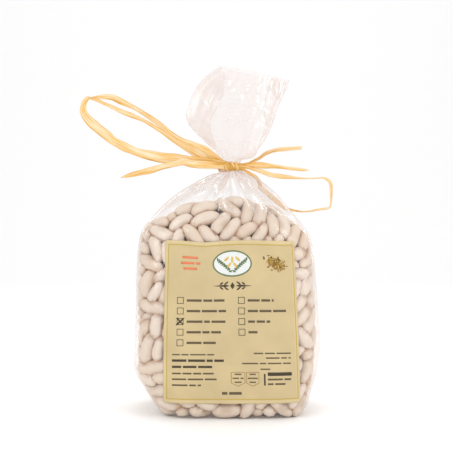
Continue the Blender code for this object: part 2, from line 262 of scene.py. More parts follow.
def outwardness(points):
    """Zero on the bag's middle line and one on its skin, at points of the filled part."""
    left, right, front, back, square = section(points[:, 2])
    u = np.abs(points[:, 0] - (left + right) / 2) / ((right - left) / 2)
    v = np.abs(points[:, 1] - (front + back) / 2) / ((back - front) / 2)
    return (u ** square + v ** square) ** (1 / square)


# Dried beans
# Over five hundred white kidney beans lie in the outer layers of the bag, most of them flat against the film.
# They grow from small to full size in the bag's form while they push each other apart, and late ones fill the
# gaps. Each is a chain of five balls while it is packed.
BEANS = 556
LATE_BEANS = 32
LATE_STARTS = (165, 200, 235)
LATE_GROWING_STEPS = 45
BEAN_LENGTH = 0.0177
BEAN_WIDTH = 0.0084
BEAN_THICKNESS = 0.0077
BEAN_BEND = 0.0011
BEAN_UNEVENNESS = 0.10
BEAN_STRETCH = (-0.11, 0.10)
BALLS = np.array([-1.0, -0.5, 0.0, 0.5, 1.0])
BALL_SHARES = np.array([0.90, 1.0, 1.02, 1.0, 0.90])
BALL_FIT = 0.97
ARM_FIT = 0.98
HEAP_TOP = 0.1258
HEAP_MIDDLE = 0.003
HEAP_FALL_LEFT = 6.6
HEAP_FALL_RIGHT = 10.4
HEAP_WAVE = 0.0011
HEAP_WAVES = 250.0
LAYER_DEPTH = 0.018
FILM_ROOM = 0.0006
FLOOR_ROOM = 0.0008
# Room between the film and the beans beside them, at heights from the floor up
ROOM_HEIGHTS = (0.0, 0.011, 0.035, 0.065, 0.095)
LEFT_ROOM = (0.0008, 0.0012, 0.0028, 0.0014, 0.0006)
RIGHT_ROOM = (0.0015, 0.0022, 0.0032, 0.0018, 0.0006)
# Where points for beans are drawn, and how many at a time
SEARCH_LOW = (-0.055, -0.031, 0.004)
SEARCH_HIGH = (0.055, 0.031, HEAP_TOP - 0.004)
SEARCH_BATCH = 4000
SKIN_PROBE = 0.0004
GAP_CANDIDATES = 14000
GAP_SPACING = 0.004
UPRIGHT_SHARE = 0.55
LIE_FLAT = 0.09
LIE_FLAT_REACH = 0.005
PRESS = 0.0001
PRESS_REACH = 0.0085
HEART_PUSH = 0.0006
PUSH_APART = 1.3
PACKING_STEPS = 300
GROWING_STEPS = 190
FIRST_SIZE = 0.45
NEIGHBOURS_EVERY = 5
BEAN_IVORY = (0.775, 0.676, 0.583, 1.0)
BEAN_CREAM = (0.715, 0.582, 0.455, 1.0)
BEAN_SCAR = (0.46, 0.33, 0.22, 1.0)
BEAN_SHADE = (0.34, 0.15, 0.045, 1.0)
SHADE_RAYS = 6
SHADE_START = 0.0003
SHADE_REACH = 0.0045
SHADE_GAIN = 1.7
SHADE_SPARED = 0.18
# Depth at which painted shade on the beans begins, and the depth over which it grows full
SHADE_DEPTH_FROM = 0.0045
SHADE_DEPTH_RANGE = 0.0045

draw = np.random.default_rng(5)
bean_size = 1 + draw.uniform(-BEAN_UNEVENNESS, BEAN_UNEVENNESS, BEANS)
bean_stretch = 1 + draw.uniform(*BEAN_STRETCH, BEANS)
ball = (BEAN_WIDTH + BEAN_THICKNESS) / 4 * bean_size * BALL_FIT
arm = (BEAN_LENGTH * bean_stretch * bean_size / 2 - ball) * ARM_FIT


def heap_height(x):
    """Height of the top of the heap of beans, which is uneven and falls away to both sides."""
    fall = np.where(x > HEAP_MIDDLE, HEAP_FALL_RIGHT, HEAP_FALL_LEFT) * (x - HEAP_MIDDLE) ** 2
    return HEAP_TOP - fall + HEAP_WAVE * np.sin(x * HEAP_WAVES + 0.6)


def nearest_skin(points):
    """How deep points lie under the skin, and the way out to it."""
    here = outwardness(points)
    steps = np.eye(3) * SKIN_PROBE
    slope = np.stack([(outwardness(points + step) - here) / SKIN_PROBE for step in steps], axis=1)
    steep = np.linalg.norm(slope, axis=1)
    return (1 - here) / steep, slope / steep[:, None]


def depth_in_heap(points, under_skin):
    """How deep points lie under the nearest of the skin, the top of the heap and the floor."""
    return np.min([under_skin, points[:, 2], heap_height(points[:, 0]) - points[:, 2]], axis=0)


def scattered(count):
    """Random points of the outer layers, clear of the skin."""
    found = np.zeros((0, 3))
    while len(found) < count:
        more = draw.uniform(SEARCH_LOW, SEARCH_HIGH, (SEARCH_BATCH, 3))
        depth = depth_in_heap(more, nearest_skin(more)[0])
        found = np.vstack([found, more[(depth > BEAN_THICKNESS * 0.4) & (depth < LAYER_DEPTH)]])
    return found[:count]


def widest_gaps(places, radius, count):
    """The places just under the film and the top of the heap that lie farthest from every bean."""
    free = scattered(GAP_CANDIDATES)
    free = free[depth_in_heap(free, nearest_skin(free)[0]) < BEAN_THICKNESS * 0.85]
    room = np.array([(np.linalg.norm(places - spot, axis=1) - radius).min() for spot in free])
    chosen = []
    for _ in range(count):
        chosen.append(free[room.argmax()])
        room = np.minimum(room, np.linalg.norm(free - chosen[-1], axis=1) - GAP_SPACING)
    return np.array(chosen)


def pushed_inside(points, radii):
    """Points kept in the outer layers, so that balls of these radii fit between the film and the heart."""
    under, out = nearest_skin(points)
    side_room = [np.interp(points[:, 2], ROOM_HEIGHTS, rooms) for rooms in (LEFT_ROOM, RIGHT_ROOM)]
    side_room = np.where(out[:, 0] > 0, side_room[1], side_room[0]) * out[:, 0] ** 4
    outside = np.maximum(radii + FILM_ROOM + side_room - under, 0)
    too_deep = np.clip(depth_in_heap(points, under) - LAYER_DEPTH, 0, HEART_PUSH)
    points = points - out * (outside - too_deep)[:, None]
    points[:, 2] = np.clip(points[:, 2], radii + FLOOR_ROOM, heap_height(points[:, 0]) - radii)
    return points


def packed_beans():
    """Centres and directions of the beans."""
    balls = len(BALLS)
    count = BEANS - LATE_BEANS * len(LATE_STARTS)
    centre = scattered(count)
    directions = draw.normal(size=(BEANS, 3)) * (1.0, 1.0, UPRIGHT_SHARE)
    directions /= np.linalg.norm(directions, axis=1)[:, None]
    along = directions[:count]
    begun = np.concatenate([np.zeros(count), np.repeat(LATE_STARTS, LATE_BEANS)])
    growing = np.where(begun > 0, LATE_GROWING_STEPS, GROWING_STEPS)
    for step in range(PACKING_STEPS):
        if step in LATE_STARTS:
            centre = np.vstack([centre, widest_gaps(places.reshape(-1, 3), radius, LATE_BEANS)])
            along = np.vstack([along, directions[count:count + LATE_BEANS]])
            count += LATE_BEANS
        grown = np.clip(FIRST_SIZE + (1 - FIRST_SIZE) * (step - begun[:count]) / growing[:count], 0, 1)
        radius = ((ball[:count] * grown)[:, None] * BALL_SHARES).reshape(-1)
        places = centre[:, None] + along[:, None] * ((arm[:count] * grown)[:, None] * BALLS)[..., None]
        if step % NEIGHBOURS_EVERY == 0 or step in LATE_STARTS:
            apart = np.linalg.norm(centre[:, None] - centre[None], axis=2)
            first, second = np.nonzero(np.triu(apart < BEAN_LENGTH * 1.2 * grown.max() + 0.002, 1))
            one = (first[:, None] * balls + np.repeat(np.arange(balls), balls)).reshape(-1)
            other = (second[:, None] * balls + np.tile(np.arange(balls), balls)).reshape(-1)
        places = places.reshape(-1, 3)
        between = places[one] - places[other]
        gap = np.linalg.norm(between, axis=1)
        overlap = radius[one] + radius[other] - gap
        touching = overlap > 0
        a, b = one[touching], other[touching]
        push = between[touching] * (overlap[touching] / (2 * np.maximum(gap[touching], 1e-6)))[:, None]
        total = len(places)
        moved = np.zeros_like(places)
        for axis in range(3):
            moved[:, axis] = np.bincount(a, push[:, axis], total) - np.bincount(b, push[:, axis], total)
        met = np.bincount(a, minlength=total) + np.bincount(b, minlength=total)
        places = places + moved / np.maximum(met, 1)[:, None] * PUSH_APART
        places = pushed_inside(places, radius).reshape(count, balls, 3)
        centre = places.mean(axis=1)
        along = ((places - centre[:, None]) * BALLS[:, None]).sum(axis=1)
        # Beans near the film, the top of the heap or the floor are drawn against it and turn to lie along it
        under, out = nearest_skin(centre)
        top = heap_height(centre[:, 0]) - centre[:, 2]
        out[top < under] = (0, 0, 1)
        under = np.minimum(under, top)
        out[centre[:, 2] < under] = (0, 0, -1)
        under = np.minimum(under, centre[:, 2])
        centre = centre + PRESS * out * np.clip(1.6 - under / PRESS_REACH, 0, 1)[:, None]
        lying = LIE_FLAT * np.clip(2 - under / LIE_FLAT_REACH, 0, 1) * (along * out).sum(axis=1)
        along -= lying[:, None] * out
        along /= np.linalg.norm(along, axis=1)[:, None]
    return centre, along


centre, along = packed_beans()

# A bean is a ball drawn out into a plump rod, bent to a kidney, with one end a little fuller than the other
bm = bmesh.new()
bmesh.ops.create_uvsphere(bm, u_segments=10, v_segments=9, radius=1.0)
bmesh.ops.rotate(bm, matrix=Matrix.Rotation(math.pi / 2, 3, "Y"), verts=bm.verts)
for vert in bm.verts:
    x, y, z = vert.co
    ring = math.hypot(y, z)
    plump = (1 - abs(x) ** 2.5) ** 0.46 if ring > 1e-6 else 0.0
    scale = plump * (1 + 0.06 * x) / max(ring, 1e-6)
    vert.co = Vector((x, y * scale, z * scale))
one_bean = bpy.data.meshes.new("one_bean")
bm.to_mesh(one_bean)
bm.free()
bean_x, bean_y, bean_z = np.array([v.co[:] for v in one_bean.vertices]).T

bm = bmesh.new()
tint_layer = bm.verts.layers.float.new("tint")
scar_layer = bm.verts.layers.float.new("scar")
_, way_out = nearest_skin(centre)
for index in range(BEANS):
    # The thin way of a bean points out of the bag, so that its broad face lies on the film
    lengthwise = Vector(along[index])
    outward = Vector((0, 0, -1)) if centre[index][2] < 0.008 else Vector(way_out[index])
    thin = outward - lengthwise * outward.dot(lengthwise)
    thin = (thin.normalized() + Vector(draw.normal(scale=0.25, size=3))).normalized()
    thin = (thin - lengthwise * thin.dot(lengthwise)).normalized()
    broad = thin.cross(lengthwise) * (1 if draw.random() < 0.5 else -1)
    size = bean_size[index]
    bent = BEAN_BEND * draw.uniform(0.4, 1.4) * (0.5 - bean_x ** 2)
    spots = (
        centre[index]
        + np.outer(bean_x * BEAN_LENGTH / 2 * bean_stretch[index] * size, lengthwise)
        + np.outer(bean_y * BEAN_WIDTH / 2 * size + bent, broad)
        + np.outer(bean_z * BEAN_THICKNESS / 2 * size, thin)
    )
    tint = draw.random()
    scars = np.clip(1.2 - np.abs(bean_x) * 4, 0, 1) * np.clip(-bean_y * 1.6 - 0.6, 0, 1)
    first = len(bm.verts)
    bm.from_mesh(one_bean)
    bm.verts.ensure_lookup_table()
    for vert, spot, scar in zip(bm.verts[first:], spots, scars):
        vert.co = spot
        vert[tint_layer] = tint
        vert[scar_layer] = scar
bpy.data.meshes.remove(one_bean)
bmesh.ops.recalc_face_normals(bm, faces=bm.faces)
bean_tree = BVHTree.FromBMesh(bm)
bean_mesh = bpy.data.meshes.new("dried_beans")
bm.to_mesh(bean_mesh)
bm.free()
spots = np.zeros(len(bean_mesh.vertices) * 3)
bean_mesh.vertices.foreach_get("co", spots)
spots = spots.reshape(-1, 3)
# Painted shade: the deeper a point of a bean lies under the film, the top of the heap or the floor, the
# browner its colour
painted_shade_share = np.clip((depth_in_heap(spots, nearest_skin(spots)[0]) - SHADE_DEPTH_FROM) / SHADE_DEPTH_RANGE, 0, 1)
# Where a bean's surface faces other beans close by, painted shade darkens it as well
ways = np.zeros(len(bean_mesh.vertices) * 3)
bean_mesh.vertices.foreach_get("normal", ways)
ways = ways.reshape(-1, 3)
aside = np.cross(ways, np.where(np.abs(ways[:, :1]) < 0.7, (1.0, 0.0, 0.0), (0.0, 1.0, 0.0)))
aside /= np.linalg.norm(aside, axis=1)[:, None]
across = np.cross(ways, aside)
turns = np.arange(SHADE_RAYS) * math.tau / SHADE_RAYS
rays = [ways + math.cos(turn) * aside + math.sin(turn) * across for turn in turns]
rays = np.stack(rays, axis=1) / math.sqrt(2)
for index in np.nonzero(painted_shade_share < 1)[0]:
    start = Vector(spots[index] + ways[index] * SHADE_START)
    reached = [bean_tree.ray_cast(start, Vector(ray), SHADE_REACH)[3] for ray in rays[index]]
    close = sum(1 - distance / SHADE_REACH for distance in reached if distance is not None) / SHADE_RAYS
    painted_shade_share[index] = min(1.0, max(painted_shade_share[index], SHADE_GAIN * close - SHADE_SPARED))
# The attribute "deep" holds each point's share of painted shade
bean_mesh.attributes.new("deep", "FLOAT", "POINT").data.foreach_set("value", painted_shade_share)


def reading(attribute):
    """The value of an attribute of the mesh."""
    return node("Attribute", {}, attribute_name=attribute).outputs["Fac"]


def sum_of(first, factor, second):
    """First times a factor plus second."""
    return node("Math", {0: first, 1: factor, 2: second}, operation="MULTIPLY_ADD").outputs[0]


def blend_of(share, first, second):
    """A colour between two, by a share from 0 to 1."""
    sockets = {"Factor": share, "A": first, "B": second}
    return node("Mix", sockets, data_type="RGBA", clamp_factor=True).outputs["Result"]


def noise_of(place, scale, detail, **settings):
    """Cloudy noise at a place."""
    inputs = {"Vector": place, "Scale": scale, "Detail": detail}
    return node("TexNoise", inputs | settings).outputs["Fac"]


def bumped(height, strength, distance):
    """A normal with the relief of a height."""
    return node("Bump", {"Height": height, "Strength": strength, "Distance": distance}).outputs["Normal"]


bean_skin, nodes, links, output = material("bean_skin")
place = node("TexCoord", {}).outputs["Object"]
mottle = noise_of(place, 160.0, 3.0)
ivory = blend_of(sum_of(reading("tint"), 0.7, sum_of(mottle, 0.9, -0.35)), BEAN_IVORY, BEAN_CREAM)
scarred = blend_of(reading("scar"), ivory, BEAN_SCAR)
# Painted shade: deeper in the heap and between close beans the colour turns to the brown of the shade
with_painted_shade = blend_of(reading("deep"), scarred, BEAN_SHADE)
shader = node("BsdfPrincipled", {
    "Base Color": with_painted_shade,
    "Roughness": 0.42,
    "Specular IOR Level": 0.35,
    "Normal": bumped(noise_of(place, 420.0, 2.0), 0.12, 0.0004),
})
links.new(shader.outputs[0], output.inputs["Surface"])

beans = piece("dried_beans", bean_mesh, bean_skin)
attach(beans, "root")
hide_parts("filled_bag")


# Heart of the heap
# Behind the beans that can show, the rest of the heap is one rounded body painted in the colour of the deep
# shade between beans. It keeps away from the film on all sides and closes the view between them.
HEART_DEPTH = 0.0105
HEART_SQUARENESS = 3
HEART_DUSK = (0.27, 0.13, 0.055, 1.0)
HEART_DARK = (0.15, 0.07, 0.03, 1.0)
HEART_TURNS = 40
HEART_ROWS = 22
HEART_LID = (1.0, 0.8, 0.55, 0.25)

deep_shade, nodes, links, output = material("deep_shade")
place = node("TexCoord", {}).outputs["Object"]
# Painted shade: the body darkens in a pattern of cells, like the gaps between beans
gaps = node("TexVoronoi", {"Vector": place, "Scale": 150.0}).outputs["Distance"]
shader = node("BsdfPrincipled", {"Base Color": blend_of(gaps, HEART_DUSK, HEART_DARK), "Roughness": 0.8})
links.new(shader.outputs[0], output.inputs["Surface"])


def lofted(rings):
    """A tube through rings of points, each ring extruded from the one below, closed at both ends."""
    made = bmesh.new()
    ring = bmesh.ops.create_circle(made, cap_ends=True, radius=1.0, segments=len(rings[0]))["verts"]
    edges = list(made.edges)
    for vert, co in zip(ring, rings[0]):
        vert.co = co
    for points_round in rings[1:]:
        new = bmesh.ops.extrude_edge_only(made, edges=edges)["geom"]
        fresh = {v for v in new if isinstance(v, bmesh.types.BMVert)}
        ring = [next(e.other_vert(v) for e in v.link_edges if e.other_vert(v) in fresh) for v in ring]
        edges = [e for e in new if isinstance(e, bmesh.types.BMEdge) and fresh.issuperset(e.verts)]
        for vert, co in zip(ring, points_round):
            vert.co = co
    made.faces.new(ring)
    bmesh.ops.recalc_face_normals(made, faces=made.faces)
    return made


heart_rings = []
turns = np.linspace(0, math.tau, HEART_TURNS, endpoint=False)
heart_levels = [(height, 1.0) for height in np.linspace(HEART_DEPTH, HEAP_TOP - 3 * HEART_DEPTH, HEART_ROWS)]
heart_levels += [(HEAP_TOP, inwards) for inwards in HEART_LID]
for height, inwards in heart_levels:
    level = min(height, HEAP_TOP - 2 * HEART_DEPTH)
    left, right, front, back, square = section(level)
    half_width = ((right - left) / 2 - HEART_DEPTH) * inwards
    half_depth = ((back - front) / 2 - HEART_DEPTH) * inwards
    cosine, sine = np.cos(turns), np.sin(turns)
    reach = (np.abs(cosine) ** HEART_SQUARENESS + np.abs(sine) ** HEART_SQUARENESS) ** (-1 / HEART_SQUARENESS)
    x = (left + right) / 2 + half_width * cosine * reach
    y = (front + back) / 2 + half_depth * sine * reach
    z = np.minimum(height, heap_height(x) - HEART_DEPTH)
    heart_rings.append([Vector(spot) for spot in zip(x, y, z)])
heart = piece("heart_of_heap", lofted(heart_rings), deep_shade)
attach(heart, "root")
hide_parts("filled_bag")


# Clear film
# Thin clear film, drawn taut over the crowns of the beans and sagging a little between them, gathered into
# creases at the tied neck, and crumpled and folded in at its sides in the loose mouth above.
FILM_TURNS = 348
BASE_ROWS = 14
FILLED_ROWS = 126
NECK_ROWS = 34
MOUTH_ROWS = 82
FILLED_TOP = 0.131
# The rows of film that the beans can reach, and the first that hangs free of them
SEARCHED_ROWS = BASE_ROWS + FILLED_ROWS + 8
FREE_ROW = BASE_ROWS + FILLED_ROWS + 6
BEAN_SEARCH = 0.009
SEARCH_START = 0.001
FILM_CLEARANCE = 0.00018
FILM_LOWEST = 0.00005
SAG = 0.000010
STIFF_SIDES = 0.85
TAUT_STEPS = 320
NECK_X = 0.0032
NECK_HEIGHT = 0.1455
BACK_FANS = 26
FRONT_FANS = 9
LONG_FOLDS = 36
GATHERS = 13
GATHER_DEPTH = 0.0006
GATHERED_ABOVE = 0.008
GATHERED_BELOW = 0.016
MOUTH_MIDDLE = 0.0042
MILK_REACH = 3
MILK_BLUR = 5
MILK_CLEAR = 0.0016
MILK_FULL = 0.004
FILM_HAZE = (0.83, 0.735, 0.69, 1.0)
FILM_CLEAR = (0.985, 0.98, 0.98, 1.0)
# Where the paper label lies on the film: bottom, top, and its left and right edge at bottom and top
SHEET_LOW = 0.0096
SHEET_HIGH = 0.1007
SHEET_LEFT = (-0.0353, -0.0345)
SHEET_RIGHT = (0.0420, 0.0389)
PAPER_STIFFNESS = 14

base_shares = np.linspace(0.02, 1, BASE_ROWS, endpoint=False)
filled_heights = np.linspace(0.0, FILLED_TOP, FILLED_ROWS, endpoint=False)
film_levels = np.concatenate([
    np.zeros(BASE_ROWS),
    np.interp(filled_heights, body_heights, body_levels),
    np.linspace(np.interp(FILLED_TOP, body_heights, body_levels), FLARE_LEVEL, NECK_ROWS, endpoint=False),
    np.linspace(FLARE_LEVEL, TOP_LEVEL, MOUTH_ROWS),
])
film_turns = np.linspace(0, math.tau, FILM_TURNS + 1) + math.tau / 4
rows, columns = len(film_levels), len(film_turns)
level_grid = np.repeat(film_levels[:, None], columns, axis=1)
turn_grid = np.repeat(film_turns[None], rows, axis=0)
film = skin(level_grid, turn_grid)
film[:BASE_ROWS] *= base_shares[:, None, None] ** 0.8
film[:, -1] = film[:, 0]


def film_normals(surface):
    """Outward unit normals of the film's grid."""
    ring = surface[:, :-1]
    around = np.roll(ring, -1, axis=1) - np.roll(ring, 1, axis=1)
    upward = np.gradient(ring, axis=0)
    normal = np.cross(around, upward)
    normal /= np.maximum(np.linalg.norm(normal, axis=2), 1e-12)[..., None]
    return np.concatenate([normal, normal[:, :1]], axis=1)


def smoothed(grid, times):
    """A value on the film's grid, evened out with its neighbours above, below and on both sides."""
    grid = grid.copy()
    for _ in range(times):
        grid[1:-1] = (grid[:-2] + grid[1:-1] + grid[2:]) / 3
        ring = grid[:, :-1]
        grid[:, :-1] = (np.roll(ring, 1, axis=1) + ring + np.roll(ring, -1, axis=1)) / 3
    grid[:, -1] = grid[:, 0]
    return grid


normals = film_normals(film)

# How far under the film the beans lie, then the film's own taut height over them
floor_height = np.full((rows, columns), -BEAN_SEARCH)
for row in range(SEARCHED_ROWS):
    for column in range(columns - 1):
        start = Vector(film[row, column] + normals[row, column] * SEARCH_START)
        inwards = Vector(-normals[row, column])
        distance = bean_tree.ray_cast(start, inwards, BEAN_SEARCH + SEARCH_START)[3]
        if distance is not None:
            floor_height[row, column] = SEARCH_START - distance
floor_height[:, -1] = floor_height[:, 0]
near_beans = smoothed(np.clip(1 + (floor_height + 0.0055) / 0.0025, 0, 1), 8)
height = np.zeros((rows, columns))
sag = SAG * near_beans[:, :-1] * (1 - STIFF_SIDES * normals[:, :-1, 0] ** 2)
for _ in range(TAUT_STEPS):
    ring = height[:, :-1]
    beside = (np.roll(ring, 1, axis=1) + np.roll(ring, -1, axis=1)) / 2
    above = np.vstack([ring[:1], (ring[:-2] + ring[2:]) / 2, ring[-1:]])
    ring = (beside + above) / 2 - sag
    ring = np.maximum(ring, np.minimum(floor_height[:, :-1] + FILM_CLEARANCE, 0.0003))
    ring[:2] = np.minimum(ring[:2], 0)
    ring[FREE_ROW:] = 0
    height = np.concatenate([ring, ring[:, :1]], axis=1)
# Behind the paper label the film is as stiff as the paper, and lies as one smooth sheet over the crowns
stiff = smoothed(height, PAPER_STIFFNESS)
x, y, z = np.moveaxis(film, -1, 0)
inside_label = np.min([x - SHEET_LEFT[0], SHEET_RIGHT[0] - x, z - SHEET_LOW, SHEET_HIGH - z], axis=0)
under_label = np.clip(inside_label / 0.002 + 1, 0, 1) * (y < 0)
height = height * (1 - under_label) + (stiff + 0.0002) * under_label
film += normals * height[..., None]


def tent(value):
    """One on a crease, falling straight to zero on both sides of it."""
    return np.clip(1 - np.abs(value), 0, None)


def swell(value):
    """A smooth hump over -1 to 1."""
    return np.clip(1 - value ** 2, 0, None) ** 2


def from_crease(across, up, middle_across, middle_up, lean):
    """How far the film's points lie along a leaning line from its middle, and how far beside it."""
    right, above = across - middle_across, up - middle_up
    return right * math.sin(lean) + above * math.cos(lean), right * math.cos(lean) - above * math.sin(lean)


draw = np.random.default_rng(23)
x, y, z = np.moveaxis(film, -1, 0)
crease = np.zeros((rows, columns))
whitened = np.zeros((rows, columns))
from_neck = np.hypot(x - NECK_X, z - NECK_HEIGHT)
bearing = np.arctan2(x - NECK_X, NECK_HEIGHT - z)
below_neck = np.clip((NECK_HEIGHT - 0.002 - z) / 0.004, 0, 1)
# Creases that fan out from the tie, some over the front and more over the back
for side, fans in ((-1, FRONT_FANS), (1, BACK_FANS)):
    for _ in range(fans):
        heading, begin = draw.uniform(-1.3, 1.3), draw.uniform(0.003, 0.014)
        length, width = draw.uniform(0.010, 0.028), draw.uniform(0.0007, 0.0018)
        rise = draw.uniform(0.0003, 0.0008)
        on_side = np.clip(side * (y - 0.003) / 0.003, 0, 1)
        run = (from_neck - begin) / length
        bend = draw.uniform(-0.14, 0.14)
        off = from_neck * (bearing - heading - bend * run) / width
        shape = swell(run * 2 - 1) * on_side * below_neck
        crease += rise * tent(off) * shape
        whitened = np.maximum(whitened, 0.7 * tent(off * 1.8) * shape)
# The sharp creases of the front's shoulders: their two ends across and up, width and rise, in millimetres
for x_from, z_from, x_to, z_to, width, rise in (
    (-4.7, 141.0, -4.7, 125.0, 2.2, 0.8), (-4.9, 134.1, 3.2, 115.0, 1.1, 1.0),
    (-2.0, 128.0, -3.8, 116.0, 1.0, 0.9), (-7.4, 115.4, 3.4, 113.1, 1.0, 0.8),
    (7.2, 130.6, 20.0, 112.6, 1.1, 1.3), (11.6, 131.0, 24.4, 114.2, 1.0, 1.3),
    (15.4, 129.2, 28.8, 112.6, 1.2, 1.2), (25.4, 120.6, 33.2, 112.0, 1.6, 1.0),
    (-13.0, 128.4, -4.3, 134.6, 1.8, 0.8), (-24.5, 125.7, -6.4, 130.2, 2.0, 0.7),
    (7.8, 137.0, 13.8, 125.6, 1.0, 0.9), (11.2, 139.2, 21.6, 124.4, 0.9, 0.8),
    (1.2, 142.0, -0.4, 129.0, 1.0, 0.8), (3.3, 141.5, 8.6, 123.2, 0.9, 0.8),
    (-7.8, 141.0, -18.2, 129.2, 1.2, 0.8), (-11.8, 139.0, -28.6, 123.6, 1.4, 0.7),
    (-1.6, 122.0, 7.6, 117.0, 1.0, 0.8), (-9.0, 124.0, -2.0, 117.5, 1.1, 0.8),
):
    middle_x, middle_z = (x_from + x_to) / 2000, (z_from + z_to) / 2000
    length, lean = math.hypot(x_to - x_from, z_to - z_from) / 2000, math.atan2(x_to - x_from, z_to - z_from)
    run, beside = from_crease(x, z, middle_x, middle_z, lean)
    run = run / length
    curl = 0.0012 * draw.uniform(-1, 1) * (1 - run ** 2)
    off = (beside - curl) / (width * 0.001)
    shape = swell(run) ** 0.5 * np.clip(-y / 0.003, 0, 1) * below_neck
    crease += rise * 0.001 * tent(off) * shape
    whitened = np.maximum(whitened, tent(off * 1.6) * shape)

# Long shallow folds, mostly upright, over the back and both sides
for number in range(LONG_FOLDS):
    on_back = number % 2 == 0
    flank = 1 if number % 4 == 1 else -1
    reach = 0.042 if on_back else 0.021
    middle_across, middle_z = draw.uniform(-reach, reach), draw.uniform(0.022, 0.112)
    lean, length = draw.normal(0, 0.4), draw.uniform(0.008, 0.026)
    width, rise = draw.uniform(0.0009, 0.0018), draw.uniform(0.00015, 0.00040)
    if on_back:
        across, here = x, np.clip((y - 0.008) / 0.006, 0, 1)
    else:
        across, here = y, np.clip(flank * x / 0.006 - 6.5, 0, 1)
    run, beside = from_crease(across, z, middle_across, middle_z, lean)
    run = run / length
    curl = 0.0015 * draw.uniform(-1, 1) * (1 - run ** 2)
    off = (beside - curl) / width
    shape = swell(run) ** 0.5 * here * below_neck
    crease += rise * tent(off) * shape
    whitened = np.maximum(whitened, 0.55 * tent(off * 1.7) * shape)

# Gathers at the neck
wander = 0.5 * np.sin(turn_grid * 3 + 1) + 0.35 * np.sin(turn_grid * 5 + film_levels[:, None] * 0.4)
fold_wave = np.abs((turn_grid * GATHERS / math.tau + wander) % 1 * 2 - 1)
above_tie, below_tie = (z - NECK_HEIGHT) / GATHERED_ABOVE, (NECK_HEIGHT - z) / GATHERED_BELOW
from_tie = np.where(z > NECK_HEIGHT, above_tie, below_tie)
crease += GATHER_DEPTH * np.clip(1 - from_tie, 0, 1) ** 1.3 * (fold_wave - 0.55)

# Crumples of the loose mouth: broad facets, small crinkles in the middle, and short upright pleats at the top
# right. Each kind has its number on a side, and ranges for its place across and up, length, width and rise.
# The lean has its middle and its spread.
CRUMPLES = (
    (11, (-0.004, 0.030), (0.155, 0.200), (0.3, 0.9), (0.010, 0.024), (0.004, 0.009), (0.0004, 0.0009)),
    (26, (0.002, 0.024), (0.170, 0.196), (1.9, 0.5), (0.004, 0.010), (0.0008, 0.0018), (0.00015, 0.0004)),
    (9, (0.018, 0.036), (0.186, 0.197), (0.05, 0.12), (0.006, 0.012), (0.0008, 0.0014), (0.0003, 0.0006)),
)
loose = np.clip((film_levels[:, None] - FLARE_LEVEL - 0.8) / 2.0, 0, 1) * np.ones((1, columns))
crumples = []
for side in (-1, 1):
    for count, across, up, lean, length, width, rise in CRUMPLES:
        for _ in range(count):
            crumples.append((side, draw.uniform(*across), draw.uniform(*up), draw.normal(*lean),
                             draw.uniform(*length), draw.uniform(*width), draw.uniform(*rise)))
crumples += [
    (-1, -0.0130, 0.1835, -0.75, 0.006, 0.0013, 0.0008), (-1, -0.0085, 0.1850, 0.35, 0.008, 0.0013, 0.0008),
    (-1, -0.0030, 0.1718, 1.40, 0.009, 0.0016, 0.0009), (-1, 0.0225, 0.1690, 1.95, 0.007, 0.0014, 0.0009),
    (-1, 0.0170, 0.1835, 2.00, 0.009, 0.0009, 0.0005), (-1, 0.0150, 0.1800, 1.90, 0.008, 0.0009, 0.0005),
]
for side, spot_x, spot_z, lean, length, width, rise in crumples:
    on_side = np.clip(side * (y - MOUTH_MIDDLE) / 0.0022, 0, 1)
    run, beside = from_crease(x, z, spot_x, spot_z, lean)
    run, off = run / length, beside / width
    crease += rise * tent(off) * swell(run) * on_side * loose * draw.choice([1, -1])
    if width < 0.0017:
        whitened = np.maximum(whitened, 0.7 * tent(off * 1.5) * swell(run) * on_side * loose)
crease[:BASE_ROWS + 4] = 0
crease[:, -1] = crease[:, 0]
film += film_normals(film) * crease[..., None]
film[:, -1] = film[:, 0]
film[..., 2] = np.maximum(film[..., 2], FILM_LOWEST)

# Film that stands off the beans looks milkier than film pressed on them
reached = floor_height.copy()
for _ in range(MILK_REACH):
    reached[1:-1] = np.max([reached[:-2], reached[2:], reached[1:-1]], axis=0)
    ring = reached[:, :-1]
    reached[:, :-1] = np.max([np.roll(ring, 1, axis=1), np.roll(ring, -1, axis=1), ring], axis=0)
stand_off = np.clip((height - reached - MILK_CLEAR) / MILK_FULL, 0, 1)
stand_off[FREE_ROW:] = 1
stand_off = smoothed(stand_off, MILK_BLUR)
near_tie = np.clip(1 - np.abs(z - NECK_HEIGHT) / 0.022, 0, 1)
# Streaks of it run out from the tie, and soft patches of it lie over the mouth
streaks = np.zeros((rows, columns))
for row in range(BASE_ROWS + FILLED_ROWS // 2, rows):
    for column in range(columns - 1):
        here = row, column
        if z[here] < NECK_HEIGHT:
            spot = (bearing[here] * 5.5, from_neck[here] * 40, 1.0 if y[here] > 0.003 else 6.0)
        else:
            spot = (x[here] * 110, z[here] * 90, 3.0 if y[here] > 0.004 else 8.0)
        streaks[here] = noise.noise(Vector(spot))
streaks[:, -1] = streaks[:, 0]
streak_contrast = np.where(z < NECK_HEIGHT, 1.6, 0.9)
milk_values = stand_off * (0.75 + 0.5 * near_tie) * np.clip(1 + streak_contrast * streaks, 0.1, None)
# The creased film over the top of the heap, right of the middle, hides more of the beans
veil = np.exp(-((x - 0.020) / 0.013) ** 2 - ((z - 0.1215) / 0.008) ** 2) * np.clip(-y / 0.004, 0, 1)
milk_values += veil * np.clip(0.9 + 1.6 * streaks, 0, None)

